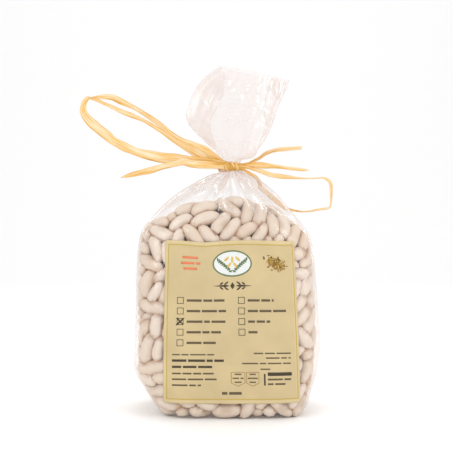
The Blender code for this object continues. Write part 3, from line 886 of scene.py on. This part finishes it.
bm = bmesh.new()
bmesh.ops.create_grid(bm, x_segments=columns - 1, y_segments=rows - 1, size=1.0)
film_mesh = bpy.data.meshes.new("clear_film")
bm.to_mesh(film_mesh)
bm.free()
flat = np.zeros(len(film_mesh.vertices) * 3)
film_mesh.vertices.foreach_get("co", flat)
flat = flat.reshape(-1, 3)
column_of = np.rint((flat[:, 0] + 1) / 2 * (columns - 1)).astype(int)
row_of = np.rint((flat[:, 1] + 1) / 2 * (rows - 1)).astype(int)
film_mesh.vertices.foreach_set("co", film[row_of, column_of].reshape(-1))
for name, values in (("milk", milk_values), ("glint", whitened)):
    film_mesh.attributes.new(name, "FLOAT", "POINT").data.foreach_set("value", values[row_of, column_of])
bm = bmesh.new()
bm.from_mesh(film_mesh)
bmesh.ops.remove_doubles(bm, verts=bm.verts, dist=1e-7)
hole = [e for e in bm.edges if e.is_boundary and e.verts[0].co.z < 0.001]
bmesh.ops.holes_fill(bm, edges=hole, sides=0)
bmesh.ops.triangulate(bm, faces=[f for f in bm.faces if len(f.verts) > 4])
bmesh.ops.recalc_face_normals(bm, faces=bm.faces)
bm.to_mesh(film_mesh)
bm.free()

clear_film, nodes, links, output = material("clear_film")
place = node("TexCoord", {}).outputs["Object"]
crinkled = bumped(noise_of(place, 230.0, 3.0, Distortion=0.6), 0.15, 0.0006)
slant = node("LayerWeight", {"Blend": 0.5, "Normal": crinkled}).outputs["Facing"]


def slanted(power, factor, added):
    """The slant to a power, times a factor, plus a value."""
    return sum_of(node("Math", {0: slant, 1: power}, operation="POWER").outputs[0], factor, added)


# A thin sheet mirrors alike from both sides: a little when seen straight on, strongly at a slant and in a
# crease. Its milky sheen grows at a slant as well.
see_through = node("BsdfTransparent", {"Color": FILM_CLEAR})
haze_front = node("BsdfDiffuse", {"Color": FILM_HAZE})
haze_behind = node("BsdfTranslucent", {"Color": FILM_HAZE})
gloss = node("BsdfGlossy", {"Color": (1.0, 1.0, 1.0, 1.0), "Roughness": 0.14, "Normal": crinkled})
haze = node("MixShader", {"Fac": 0.45, 1: haze_front.outputs[0], 2: haze_behind.outputs[0]})
milkiness = slanted(2.0, 0.42, sum_of(reading("milk"), 0.30, 0.012))
body = node("MixShader", {"Fac": milkiness, 1: see_through.outputs[0], 2: haze.outputs[0]})
mirror = slanted(4.5, 0.5, sum_of(reading("glint"), 0.42, 0.036))
wrap = node("MixShader", {"Fac": mirror, 1: body.outputs[0], 2: gloss.outputs[0]})
links.new(wrap.outputs[0], output.inputs["Surface"])

film_piece = piece("clear_film", film_mesh, clear_film)
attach(film_piece, "root")
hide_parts("filled_bag")


# Paper label
# A sheet of cream paper stuck on the front of the film, where it takes the bag's curve and the beans' bumps.
# Its print is plain: a ground tint in a thin border, tick boxes with bars, a sprig in an oval, strewn pulses.
SHEET_WIDE = 77.0
SHEET_TALL = 91.0
SHEET_OFF_FILM = 0.00035
PAPER_THICKNESS = 0.00016
PRINT_LIFT = 0.00003
PRINT_THICKNESS = 0.02
MARGIN = 1.8
MARGIN_BLUR = 0.6
OVAL_MIDDLE = (39.7, 12.95)
ORNAMENT_MIDDLE = (39.7, 25.4)
PULSES_MIDDLE = (65.4, 12.9)
PULSES = 560
PAPER_CREAM = (0.63, 0.505, 0.285, 1.0)
GROUND_TINT = (0.575, 0.455, 0.25, 1.0)
INKS = {
    "ochre_ink": (0.53, 0.375, 0.05, 1.0),
    "dark_ink": (0.035, 0.027, 0.016, 1.0),
    "word_ink": (0.10, 0.075, 0.042, 1.0),
    "rust_ink": (0.74, 0.20, 0.085, 1.0),
    "brown_ink": (0.29, 0.145, 0.03, 1.0),
    "umber_ink": (0.07, 0.035, 0.012, 1.0),
    "straw_ink": (0.70, 0.50, 0.13, 1.0),
    "leaf_ink": (0.10, 0.17, 0.07, 1.0),
    "white_ink": (0.74, 0.76, 0.75, 1.0),
}


def on_paper(flat):
    """Points of the label's face, from millimetres right of its left edge, up from its top and proud."""
    right, up = flat[:, 0] / SHEET_WIDE, 1 + flat[:, 1] / SHEET_TALL
    low_left, top_left = SHEET_LEFT
    low_right, top_right = SHEET_RIGHT
    start = low_left + (top_left - low_left) * up
    x = start + (low_right + (top_right - low_right) * up - start) * right
    z = SHEET_LOW + (SHEET_HIGH - SHEET_LOW) * up
    left, right, front, back, square = section(z)
    aside = np.clip(np.abs(x - (left + right) / 2) / ((right - left) / 2), 0, 1)
    y = (front + back) / 2 - (back - front) / 2 * (1 - aside ** square) ** (1 / square)
    # The film's own height at this place, from its grid
    turn = np.arctan2(-(1 - aside ** square) ** (1 / square), (x - (left + right) / 2) / ((right - left) / 2))
    column = ((turn - math.tau / 4) / math.tau) % 1 * FILM_TURNS
    level = np.interp(z, body_heights, body_levels)
    row = np.interp(level, film_levels[BASE_ROWS:], np.arange(BASE_ROWS, rows))
    row_low, column_low = row.astype(int), np.minimum(column.astype(int), FILM_TURNS - 1)
    u, v = row - row_low, column - column_low
    y -= (
        (1 - u) * (1 - v) * height[row_low, column_low] + u * (1 - v) * height[row_low + 1, column_low]
        + (1 - u) * v * height[row_low, column_low + 1] + u * v * height[row_low + 1, column_low + 1]
    )
    bumps = np.array([noise.noise(Vector((a * 70, 3.0, b * 62))) for a, b in zip(x, z)])
    y -= SHEET_OFF_FILM + 0.00010 * (1 + bumps)
    z -= 0.0007 * np.exp(-((x + 0.013) / 0.009) ** 2) * np.clip(up, 0, 1) ** 5
    z += 0.0003 * np.sin(x * 140) * np.clip(up, 0, 1) ** 5
    return np.stack([x, y - flat[:, 2] * 0.001, z], axis=-1)


def laid_on_paper(bm, lift):
    """The flat shape laid on the label's face."""
    flat = np.array([v.co[:] for v in bm.verts])
    flat[:, 2] += lift * 1000
    for vert, co in zip(bm.verts, on_paper(flat)):
        vert.co = co
    bmesh.ops.recalc_face_normals(bm, faces=bm.faces)
    if sum(f.normal.y * f.calc_area() for f in bm.faces) > 0:
        bmesh.ops.reverse_faces(bm, faces=bm.faces)


def patch(bm, left, top, width, height, cells=None):
    """A flat rectangle of print."""
    cells = cells or max(1, round(max(width, height) / 1.5))
    wide, tall = (cells, 1) if width >= height else (1, cells)
    made = bmesh.ops.create_grid(bm, x_segments=wide, y_segments=tall, size=0.5)["verts"]
    bmesh.ops.scale(bm, vec=(width, height, 1), verts=made)
    bmesh.ops.translate(bm, vec=(left + width / 2, -top - height / 2, 0), verts=made)
    return made


def frame_line(bm, left, top, width, height, line):
    """The four sides of a box of print."""
    patch(bm, left, top, width, line)
    patch(bm, left, top + height - line, width, line)
    patch(bm, left, top + line, line, height - 2 * line)
    patch(bm, left + width - line, top + line, line, height - 2 * line)


def stroke(bm, spots, widths):
    """A printed line through these spots, with its width at each."""
    spots = np.array(spots, float)
    widths = np.interp(np.linspace(0, 1, len(spots)), np.linspace(0, 1, len(widths)), widths)
    run = np.gradient(spots, axis=0)
    aside = np.stack([-run[:, 1], run[:, 0]], axis=1) / np.linalg.norm(run, axis=1)[:, None]
    made = bmesh.ops.create_grid(bm, x_segments=len(spots) - 1, y_segments=1, size=1.0)["verts"]
    for vert in made:
        step = round((vert.co.x + 1) / 2 * (len(spots) - 1))
        x, down = spots[step] + aside[step] * widths[step] / 2 * (1 if vert.co.y > 0 else -1)
        vert.co = (x, -down, 0)


def oval(bm, centre, half_width, half_height, turn=0.0, sides=7):
    """A printed oval with a few sides, laid at an angle."""
    made = bmesh.ops.create_circle(bm, cap_ends=True, radius=1.0, segments=sides)["verts"]
    bmesh.ops.scale(bm, vec=(half_width, half_height, 1), verts=made)
    bmesh.ops.rotate(bm, matrix=Matrix.Rotation(turn, 3, "Z"), verts=made)
    bmesh.ops.translate(bm, vec=(centre[0], -centre[1], 0), verts=made)


def bars(bm, left, middle, width, tall):
    """A line of plain bars of uneven length."""
    place = left
    while place < left + width - 1.0:
        run = min(draw.uniform(2.8, 9.5), left + width - place)
        patch(bm, place, middle - tall / 2, run, tall)
        place += run + 1.0


paper_cream, nodes, links, output = material("paper_cream")
place = node("TexCoord", {}).outputs["Object"]
ground = blend_of(reading("inside"), PAPER_CREAM, GROUND_TINT)
cloud = noise_of(place, 60.0, 3.0)
uneven = node("MapRange", {"Value": cloud, "From Min": 0.3, "From Max": 0.7, "To Min": 0.93, "To Max": 1.05})
shaded = node("VectorMath", {0: ground, "Scale": uneven.outputs["Result"]}, operation="SCALE")
shader = node("BsdfPrincipled", {
    "Base Color": shaded.outputs["Vector"],
    "Roughness": 0.55,
    "Specular IOR Level": 0.3,
    "Normal": bumped(noise_of(place, 900.0, 3.0), 0.10, 0.0002),
})
links.new(shader.outputs[0], output.inputs["Surface"])

bm = bmesh.new()
bmesh.ops.create_grid(bm, x_segments=90, y_segments=106, size=0.5)
bmesh.ops.scale(bm, vec=(SHEET_WIDE, SHEET_TALL, 1), verts=bm.verts)
bmesh.ops.translate(bm, vec=(SHEET_WIDE / 2, -SHEET_TALL / 2, 0), verts=bm.verts)
edge_distance = [min(v.co.x, SHEET_WIDE - v.co.x, -v.co.y, SHEET_TALL + v.co.y) for v in bm.verts]
laid_on_paper(bm, 0.0)
sheet = piece("label_paper", bm, paper_cream)
inside_values = np.clip((np.array(edge_distance) - MARGIN) / MARGIN_BLUR, 0, 1)
sheet.data.attributes.new("inside", "FLOAT", "POINT").data.foreach_set("value", inside_values)
wall = sheet.modifiers.new("paper", "SOLIDIFY")
wall.thickness = PAPER_THICKNESS
wall.offset = -1.0
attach(sheet, "root")
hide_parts("label")

draw = np.random.default_rng(41)
prints = {name: bmesh.new() for name in INKS}
frame_line(prints["ochre_ink"], 1.65, 2.1, 74.3, 86.6, 0.48)
for middle, left, width in ((9.3, 10.3, 9.4), (12.5, 9.5, 11.4), (15.6, 11.0, 8.0)):
    bars(prints["rust_ink"], left, middle, width, 1.3)
# Tick boxes in two columns, each with its line of bars
TICK_ROWS = ((21.7, 15.0), (22.5, 21.9), (23.6, 12.6), (19.5, 6.2), (16.5, 0))
for row, (left_width, right_width) in enumerate(TICK_ROWS):
    middle = 33.5 + 5.86 * row
    for box_left, bars_left, width in ((7.5, 13.2, left_width), (42.8, 48.4, right_width)):
        if width:
            frame_line(prints["dark_ink"], box_left, middle - 1.85, 3.8, 3.7, 0.32)
            bars(prints["word_ink"], bars_left, middle, width, 1.25)
# One box is crossed by hand
stroke(prints["dark_ink"], [(7.1, 47.2), (9.0, 45.6), (11.6, 43.2)], (0.8, 1.0, 0.7))
stroke(prints["dark_ink"], [(7.4, 43.2), (9.2, 45.0), (11.2, 47.0)], (0.9, 0.8, 0.6))
for left, middle, width, tall in (
    (5.0, 63.5, 25.5, 0.7), (5.0, 66.8, 29.2, 1.3), (5.0, 70.3, 22.6, 1.2), (5.0, 74.0, 23.4, 0.9),
    (5.0, 77.2, 25.3, 0.9), (5.0, 80.5, 16.3, 0.9), (51.2, 62.8, 21.0, 0.75), (58.0, 65.4, 14.1, 0.75),
    (44.5, 68.4, 27.5, 0.75), (54.8, 71.6, 6.6, 0.7), (58.8, 77.3, 13.0, 1.0), (58.8, 79.9, 9.8, 1.0),
):
    bars(prints["dark_ink" if tall > 1.1 else "word_ink"], left, middle, width, tall)
bars(prints["word_ink"], 33.0, 85.0, 11.5, 1.5)
patch(prints["dark_ink"], 58.8, 73.4, 13.6, 1.9)
patch(prints["dark_ink"], 56.6, 74.2, 0.9, 6.4)
# Two plain tags, each a box with a pointed foot
for left, width in ((38.3, 7.6), (46.8, 7.0)):
    right = left + width
    tag = [(left, 73.3), (right, 73.3), (right, 79.2), (left + width / 2, 81.0), (left, 79.2), (left, 73.3)]
    for one, other in zip(tag, tag[1:]):
        halfway = ((one[0] + other[0]) / 2, (one[1] + other[1]) / 2)
        stroke(prints["brown_ink"], [one, halfway, other], (0.24, 0.24))
    for middle, share in ((74.4, 0.5), (76.6, 0.8), (78.8, 0.5)):
        bars(prints["word_ink"], left + width * (1 - share) / 2, middle, width * share, 0.7)
# An ornament: a lozenge between two tapering rules with pairs of leaves
x, down = ORNAMENT_MIDDLE
stroke(prints["dark_ink"], [(x, down - 2.0), (x, down), (x, down + 2.0)], (0.0, 2.6, 0.0))
for side in (-1, 1):
    rule = [(x + side * (2.0 + 9.2 * t), down) for t in np.linspace(0, 1, 12)]
    stroke(prints["dark_ink"], rule, (0.1, 1.2, 1.0, 0.7, 0.4, 0.1))
    for reach, size in ((3.6, 1.5), (6.4, 1.2)):
        for lean in (-1, 1):
            leaf = (x + side * reach, down + lean * (0.6 + 0.6 * size))
            oval(prints["dark_ink"], leaf, size, 0.45, side * lean * 0.6, 10)
# An oval with a sprig of leaves and pods
x, down = OVAL_MIDDLE
for vert in bmesh.ops.create_grid(prints["white_ink"], x_segments=16, y_segments=10, size=1.0)["verts"]:
    a, b, _ = vert.co
    vert.co = (x + 11.1 * a * math.sqrt(1 - b * b / 2), -down - 6.9 * b * math.sqrt(1 - a * a / 2), 0)
for name, half_width, half_height, line in (("leaf_ink", 11.2, 7.0, 0.75), ("dark_ink", 11.4, 7.2, 0.35)):
    turns = np.linspace(0, math.tau, 61)
    rim = [(x + half_width * math.cos(t), down + half_height * math.sin(t)) for t in turns]
    stroke(prints[name], rim, (line, line))
for side in (-1, 1):
    stem = [(x + side * (0.6 + 7.9 * t), 18.0 - 7.2 * t ** 0.8) for t in np.linspace(0, 1, 16)]
    stroke(prints["leaf_ink"], stem, (0.45, 0.22))
    for across, below in stem[2::2]:
        for lean in (-1, 1):
            leaf = (across + 0.6 * lean * side, below - 0.7 * lean)
            oval(prints["leaf_ink"], leaf, 1.25, 0.48, side * (0.5 + 0.9 * lean), 8)
PODS = ((37.9, 13.9, 0.9), (41.5, 13.9, 2.2), (39.7, 10.8, 1.55), (36.4, 10.4, 0.7), (43.0, 10.4, 2.4))
for across, below, turn in PODS:
    oval(prints["straw_ink"], (across, below), 1.9, 0.75, turn, 10)
    oval(prints["brown_ink"], (across + 0.25, below + 0.25), 1.2, 0.18, turn, 8)
# Strewn pulses, a dense heap with a ragged rim that slopes down to the right
pulse_inks = ["straw_ink", "ochre_ink", "ochre_ink", "brown_ink", "brown_ink", "brown_ink", "umber_ink"]
x, down = PULSES_MIDDLE
for number in range(PULSES):
    reach = abs(draw.normal()) * (0.85 if number % 4 else 1.15)
    heading = draw.uniform(0, math.tau)
    across, below = 3.2 * reach * math.cos(heading), 2.0 * reach * math.sin(heading)
    spot = (x + np.clip(across, -7, 7), down + np.clip(below, -4.3, 4.3) + 0.25 * across)
    ink = pulse_inks[draw.integers(len(pulse_inks))]
    oval(prints[ink], spot, draw.uniform(0.45, 0.80), draw.uniform(0.26, 0.40), draw.uniform(0, math.pi), 6)

for name, colour in INKS.items():
    ink, nodes, links, output = material(name)
    speck = noise_of(node("TexCoord", {}).outputs["Object"], 1500.0, 2.0)
    paler = [0.92 * c + 0.08 * g for c, g in zip(colour, GROUND_TINT)]
    patchy = blend_of(speck, colour, paler)
    shader = node("BsdfPrincipled", {"Base Color": patchy, "Roughness": 0.5, "Specular IOR Level": 0.3})
    links.new(shader.outputs[0], output.inputs["Surface"])
    bm = prints[name]
    laid_on_paper(bm, PRINT_LIFT * (1 if name == "white_ink" else 2))
    mark = piece("print_" + name.replace("_ink", ""), bm, ink)
    wall = mark.modifiers.new("ink", "SOLIDIFY")
    wall.thickness = PRINT_THICKNESS * 0.001
    wall.offset = 1.0
    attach(mark, "root")
    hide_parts("label")


# Raffia bow
# Flat strands of dry raffia, thin as paper, creased lengthwise and twisted here and there. They go round the
# neck, are knotted in front, and leave a wide loop of three strands on the left, a thin loop on the right and
# three ends.
MM = 0.001
RAFFIA_THICKNESS = 0.00014
RAFFIA_CELLS = 10
RAFFIA_STEP = 0.0007
RAFFIA_LEAN = 0.45
RAFFIA_UNEVENNESS = 0.10
CURVE_STEPS = 12
RING_STEPS = 25
KNOT_MIDDLE = np.array((0.0040, -0.0060, 0.1446))
NECK_MIDDLE = (3.2, 3.9, 144.6)
# Colours of the straw from pale to dark, at places of its ramp
STRAW_COLOURS = (
    (0.22, (0.98, 0.85, 0.62, 1.0)), (0.44, (0.94, 0.72, 0.39, 1.0)),
    (0.70, (0.93, 0.60, 0.17, 1.0)), (0.95, (0.76, 0.42, 0.08, 1.0)),
)
# Each row is x, y, z and width in millimetres
STRANDS = {
    "left_loop_outer": [
        (2, -6.6, 145.4, 1.9), (-1.5, -6.2, 146.3, 2.6), (-8.1, -5.6, 150.6, 4.9),
        (-12.8, -5.2, 153.7, 5.5), (-21.0, -4.8, 157.0, 5.1), (-26.2, -4.4, 159.0, 4.3),
        (-33.0, -3.8, 163.8, 3.4), (-40.3, -3.0, 170.2, 2.9), (-46.1, -2.5, 174.2, 2.9),
        (-50.4, -2.5, 176.9, 2.7), (-54.5, -2.8, 179.3, 2.7), (-62.6, -3.3, 183.1, 3.6),
        (-68.1, -4.2, 185.5, 3.6), (-75.5, -5.3, 185.4, 2.1), (-79.8, -5.9, 184.7, 1.3),
        (-82.0, -6.2, 184.9, 1.0),
    ],
    "left_loop_inner": [
        (2, -6.0, 144.6, 2.0), (-1.8, -5.6, 145.3, 2.6), (-8.6, -5.2, 148.1, 4.6),
        (-15.7, -5.6, 151.2, 5.7), (-21.1, -6.2, 154.2, 4.8), (-26.1, -6.6, 157.1, 4.0),
        (-32.6, -7.0, 161.2, 3.0), (-37.8, -7.2, 164.7, 2.3), (-43.8, -7.2, 168.5, 2.2),
        (-49.2, -7.0, 171.5, 1.9), (-55.0, -6.8, 174.0, 2.8), (-61.2, -6.4, 176.5, 2.6),
        (-67.8, -6.2, 179.6, 2.3), (-72.2, -6.2, 181.5, 2.1), (-76.1, -6.1, 183.4, 2.2),
        (-79.9, -6.3, 184.4, 1.4), (-81.8, -6.4, 185.4, 1.0),
    ],
    "left_loop_lower": [
        (4, -6.4, 145.0, 2.7), (0.0, -6.8, 145.8, 2.9), (-7.1, -8.0, 147.2, 3.3),
        (-15.3, -9.6, 147.4, 4.0), (-20.2, -10.8, 147.4, 4.5), (-29.9, -12.2, 148.1, 6.4),
        (-37.0, -13.2, 148.7, 6.1), (-44.1, -13.8, 150.0, 5.6), (-50.3, -14.0, 151.5, 4.6),
        (-55.1, -14.0, 153.3, 4.6), (-60.7, -14.0, 155.8, 5.4), (-65.9, -13.6, 158.7, 5.2),
        (-69.6, -12.8, 161.9, 5.4), (-74.7, -11.8, 166.0, 5.7), (-80.2, -10.4, 170.8, 5.1),
        (-83.5, -9.2, 175.3, 4.3), (-84.1, -8.2, 178.9, 3.4), (-83.4, -7.2, 182.4, 3.0),
        (-81.4, -6.5, 185.1, 2.2),
    ],
    "left_tail": [
        (4, -7.4, 144.2, 3.6), (0.0, -7.6, 144.4, 4.1), (-7.1, -9.2, 144.6, 4.2),
        (-14.0, -11.6, 144.8, 4.7), (-19.8, -13.4, 145.1, 4.7), (-24.5, -14.8, 146.0, 4.0),
        (-28.3, -15.8, 145.2, 3.4), (-35.7, -17.6, 143.4, 3.1), (-43.2, -19.4, 141.0, 3.5),
        (-48.8, -20.6, 139.6, 3.3), (-53.4, -21.6, 138.4, 2.7), (-57.0, -22.4, 137.4, 1.7),
        (-59.9, -22.8, 136.5, 0.4),
    ],
    "right_tail_upper": [
        (3, 11.4, 145.6, 1.6), (7.4, 12.2, 146.3, 1.8), (13.9, 13.4, 147.4, 2.1),
        (18.3, 13.0, 149.6, 1.9), (20.8, 12.0, 150.9, 1.9), (24.0, 10.0, 153.2, 2.3),
        (27.5, 8.5, 154.6, 2.4), (31.2, 7.0, 155.4, 2.4), (35.8, 5.6, 155.7, 2.6),
        (40.7, 4.4, 156.0, 2.4), (45.8, 3.5, 156.3, 2.0),
    ],
    "right_tail_middle": [
        (4.0, -6.6, 144.6, 2.4), (7.1, -7.0, 144.5, 2.4), (11.8, -8.0, 144.7, 2.4),
        (16.0, -9.4, 144.8, 3.0), (19.2, -10.2, 144.7, 3.7), (22.7, -10.9, 144.4, 3.3),
        (29.0, -11.6, 143.8, 2.5), (33.1, -12.0, 143.3, 2.1), (36.8, -12.3, 142.7, 1.9),
        (40.9, -12.6, 142.2, 2.0), (44.8, -12.8, 141.8, 1.9), (48.4, -13.0, 141.6, 0.3),
    ],
    "right_loop_front": [
        (4.0, -7.0, 144.2, 2.1), (7.1, -7.4, 144.0, 2.1), (11.7, -8.2, 143.6, 1.8),
        (15.9, -8.8, 142.5, 1.8), (20.8, -9.6, 141.0, 2.4), (26.1, -10.1, 139.1, 2.8),
        (31.7, -10.4, 138.2, 2.7), (37.0, -10.5, 137.6, 2.0), (42.3, -10.3, 137.1, 1.2),
        (47.6, -10.0, 136.9, 0.8), (52.8, -9.6, 137.1, 0.8), (57.1, -9.0, 137.3, 1.0),
        (59.8, -7.6, 136.3, 1.8), (61.7, -5.8, 134.5, 2.1), (62.6, -3.8, 131.5, 2.0),
        (63.0, -1.0, 127.0, 1.4), (63.1, 1.0, 123.4, 1.2), (62.9, 2.4, 120.9, 1.1),
        (61.8, 3.0, 119.8, 1.2), (59.3, 3.6, 119.4, 1.4), (54.7, 5.2, 118.8, 1.3),
        (50.8, 6.8, 118.0, 1.0), (46.9, 8.6, 117.8, 0.8), (43.4, 10.6, 118.2, 1.2),
    ],
}


def resampled(rows, step):
    """Rows of x, y, z and width evenly spaced on a smooth curve through these."""
    rows = np.array(rows, float) * MM
    ends = np.vstack([2 * rows[0] - rows[1], rows, 2 * rows[-1] - rows[-2]])
    fine = []
    for a, b, c, d in zip(ends, ends[1:], ends[2:], ends[3:]):
        fine += [smooth_through(a, b, c, d, t) for t in np.linspace(0, 1, CURVE_STEPS, endpoint=False)]
    fine = np.array(fine + [rows[-1]])
    run = np.concatenate([[0], np.cumsum(np.linalg.norm(np.diff(fine[:, :3], axis=0), axis=1))])
    even = np.linspace(0, run[-1], max(8, round(run[-1] / step)))
    return np.stack([np.interp(even, run, fine[:, k]) for k in range(4)], axis=1), even


def waver(places, seed, scale):
    """A smooth random value between about -1 and 1 along a strand."""
    return np.array([noise.noise(Vector((place * scale, seed * 7.3, 0.5))) for place in places])


def ribbon(name, rows, seed, facing=(0.0, -1.0, 0.0), centre=None):
    """A creased flat strand along rows of x, y, z and width. It faces one way, or out from a centre."""
    path, run = resampled(rows, RAFFIA_STEP)
    spots, width = path[:, :3], np.maximum(path[:, 3], 0.0002)
    ahead = np.gradient(spots, axis=0)
    ahead /= np.linalg.norm(ahead, axis=1)[:, None]
    face = np.tile(np.array(facing, float), (len(spots), 1))
    if centre is not None:
        face = spots - np.array(centre)
        face -= ahead * (face * ahead).sum(axis=1)[:, None]
    wide = np.cross(ahead, face)
    wide /= np.linalg.norm(wide, axis=1)[:, None]
    out = np.cross(wide, ahead)
    lean = RAFFIA_LEAN * waver(run, seed, 55)
    wide, out = (wide * np.cos(lean)[:, None] + out * np.sin(lean)[:, None],
                 out * np.cos(lean)[:, None] - wide * np.sin(lean)[:, None])
    width = width * (1 + RAFFIA_UNEVENNESS * waver(run, seed + 0.4, 160))
    across = np.linspace(-1, 1, RAFFIA_CELLS + 1)
    fold = np.abs((across[None] * 0.8 + 0.55 * waver(run, seed + 0.7, 45)[:, None] + 0.3) % 1 * 2 - 1)
    fine_fold = np.abs((across[None] * 2.1 + 0.8 * waver(run, seed + 0.9, 70)[:, None]) % 1 * 2 - 1)
    proud = width[:, None] * (0.10 * (1 - across[None] ** 2) + 0.11 * fold + 0.03 * fine_fold)
    surface = spots[:, None] + wide[:, None] * (across[None] * width[:, None] / 2)[..., None]
    surface = surface + out[:, None] * proud[..., None]
    bm = bmesh.new()
    bmesh.ops.create_grid(bm, x_segments=len(spots) - 1, y_segments=RAFFIA_CELLS, size=1.0)
    place_along = [round((v.co.x + 1) / 2 * (len(spots) - 1)) for v in bm.verts]
    place_across = [round((v.co.y + 1) / 2 * RAFFIA_CELLS) for v in bm.verts]
    for vert, i, j in zip(bm.verts, place_along, place_across):
        vert.co = surface[i, j]
    bmesh.ops.recalc_face_normals(bm, faces=bm.faces)
    made = piece(name, bm, raffia_straw)
    from_knot = np.linalg.norm(spots - KNOT_MIDDLE, axis=1)
    near_knot = 0.60 * np.exp(-from_knot / 0.020) + 0.40 * np.exp(-(from_knot / 0.008) ** 2)
    values = {
        "along": run[place_along] + seed * 0.37,
        "across": across[place_across],
        "near_knot": near_knot[place_along],
    }
    for key, numbers in values.items():
        layer = made.data.attributes.new(key, "FLOAT", "POINT")
        layer.data.foreach_set("value", np.asarray(numbers, dtype=np.float32))
    wall = made.modifiers.new("strand", "SOLIDIFY")
    wall.thickness = RAFFIA_THICKNESS
    wall.offset = 0.0
    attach(made, "root")
    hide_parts("raffia_bow")
    return made


raffia_straw, nodes, links, output = material("raffia_straw")
across, along = reading("across"), reading("along")
fibre_place = node("CombineXYZ", {"X": sum_of(across, 3.2, 0.0), "Y": sum_of(along, 34.0, 0.0)}).outputs[0]
fibres = noise_of(fibre_place, 1.0, 4.0, Roughness=0.65)
blotch_place = node("CombineXYZ", {"X": sum_of(across, 0.8, 3.0), "Y": sum_of(along, 60.0, 5.0)}).outputs[0]
mixed = sum_of(fibres, 3.0, sum_of(noise_of(blotch_place, 1.0, 2.0), 1.3, -1.72))
# The straw is darker at its two edges and near the knot
from_middle = node("Math", {0: across}, operation="ABSOLUTE").outputs[0]
at_edge = node("Math", {0: from_middle, 1: 6.0}, operation="POWER").outputs[0]
golden = sum_of(reading("near_knot"), 0.44, sum_of(at_edge, 0.30, mixed))
ramp = node("ValToRGB", {"Fac": golden})
(ramp.color_ramp.elements[0].position, ramp.color_ramp.elements[0].color) = STRAW_COLOURS[0]
(ramp.color_ramp.elements[1].position, ramp.color_ramp.elements[1].color) = STRAW_COLOURS[-1]
for position, colour in STRAW_COLOURS[1:-1]:
    ramp.color_ramp.elements.new(position).color = colour
straw = ramp.outputs["Color"]
surface = node("BsdfPrincipled", {
    "Base Color": straw,
    "Roughness": 0.45,
    "Specular IOR Level": 0.45,
    "Normal": bumped(fibres, 0.5, 0.0003),
})
glow = node("BsdfTranslucent", {"Color": straw})
strand = node("MixShader", {"Fac": 0.28, 1: surface.outputs[0], 2: glow.outputs[0]})
links.new(strand.outputs[0], output.inputs["Surface"])

for seed, (name, rows) in enumerate(STRANDS.items()):
    ribbon(name, rows, seed + 1)


def back_of_bag(x, z):
    """How far back the bag's skin lies at this place across and up, in metres."""
    left, right, front, back, square = section(np.array([z]))
    aside = np.minimum(1, np.abs(x - (left + right) / 2) / ((right - left) / 2))
    return ((front + back) / 2 + (back - front) / 2 * (1 - aside ** square) ** (1 / square))[0]


# The thin loop comes back to the knot behind the right shoulder, close to the film
OFF_FILM = 2.0
return_rows = [(43.4, 10.6, 118.2, 1.2)]
for x, z, width in ((39.5, 118.9, 1.6), (36.4, 120.2, 2.2), (33.2, 122.9, 2.6), (29.4, 125.9, 2.7),
                    (25.0, 129.6, 2.7), (21.5, 132.7, 2.6)):
    return_rows.append((x, back_of_bag(x * MM, z * MM) / MM + OFF_FILM, z, width))
return_rows += [(20.2, 8.6, 136.0, 2.4), (18.2, 3.4, 138.4, 2.0), (14.4, -1.2, 140.4, 1.7),
                (10.2, -4.8, 142.4, 1.6), (6.5, -6.4, 143.8, 1.8)]
ribbon("right_loop_return", return_rows, 9)

# Two turns round the neck: radius, height, width and where each starts
x, y, _ = NECK_MIDDLE
for number, (radius, height, width, start) in enumerate(((7.5, 144.4, 3.6, 0.3), (8.0, 145.0, 2.6, 1.7))):
    ring = []
    for t in np.linspace(0, math.tau, RING_STEPS):
        ring.append((x + radius * math.cos(t + start), y + radius * math.sin(t + start),
                     height + 0.5 * math.sin(t * 2 + start), width))
    ribbon("neck_turn_%d" % (number + 1), ring, 11 + number, centre=np.array(NECK_MIDDLE) * MM)

# The knot: three slanted turns of a strand over the others
for number, (offset, width) in enumerate(((0.6, 3.2), (3.4, 3.0), (6.0, 2.8))):
    winding = []
    for t in np.linspace(0, math.tau, RING_STEPS):
        winding.append((offset - 0.9 * math.cos(t), -6.4 - (2.3 - 0.2 * number) * math.sin(t),
                        144.3 + 1.9 * math.cos(t), width))
    ribbon("knot_turn_%d" % (number + 1), winding, 17 + number, centre=(offset * MM, -0.0064, 0.1443))
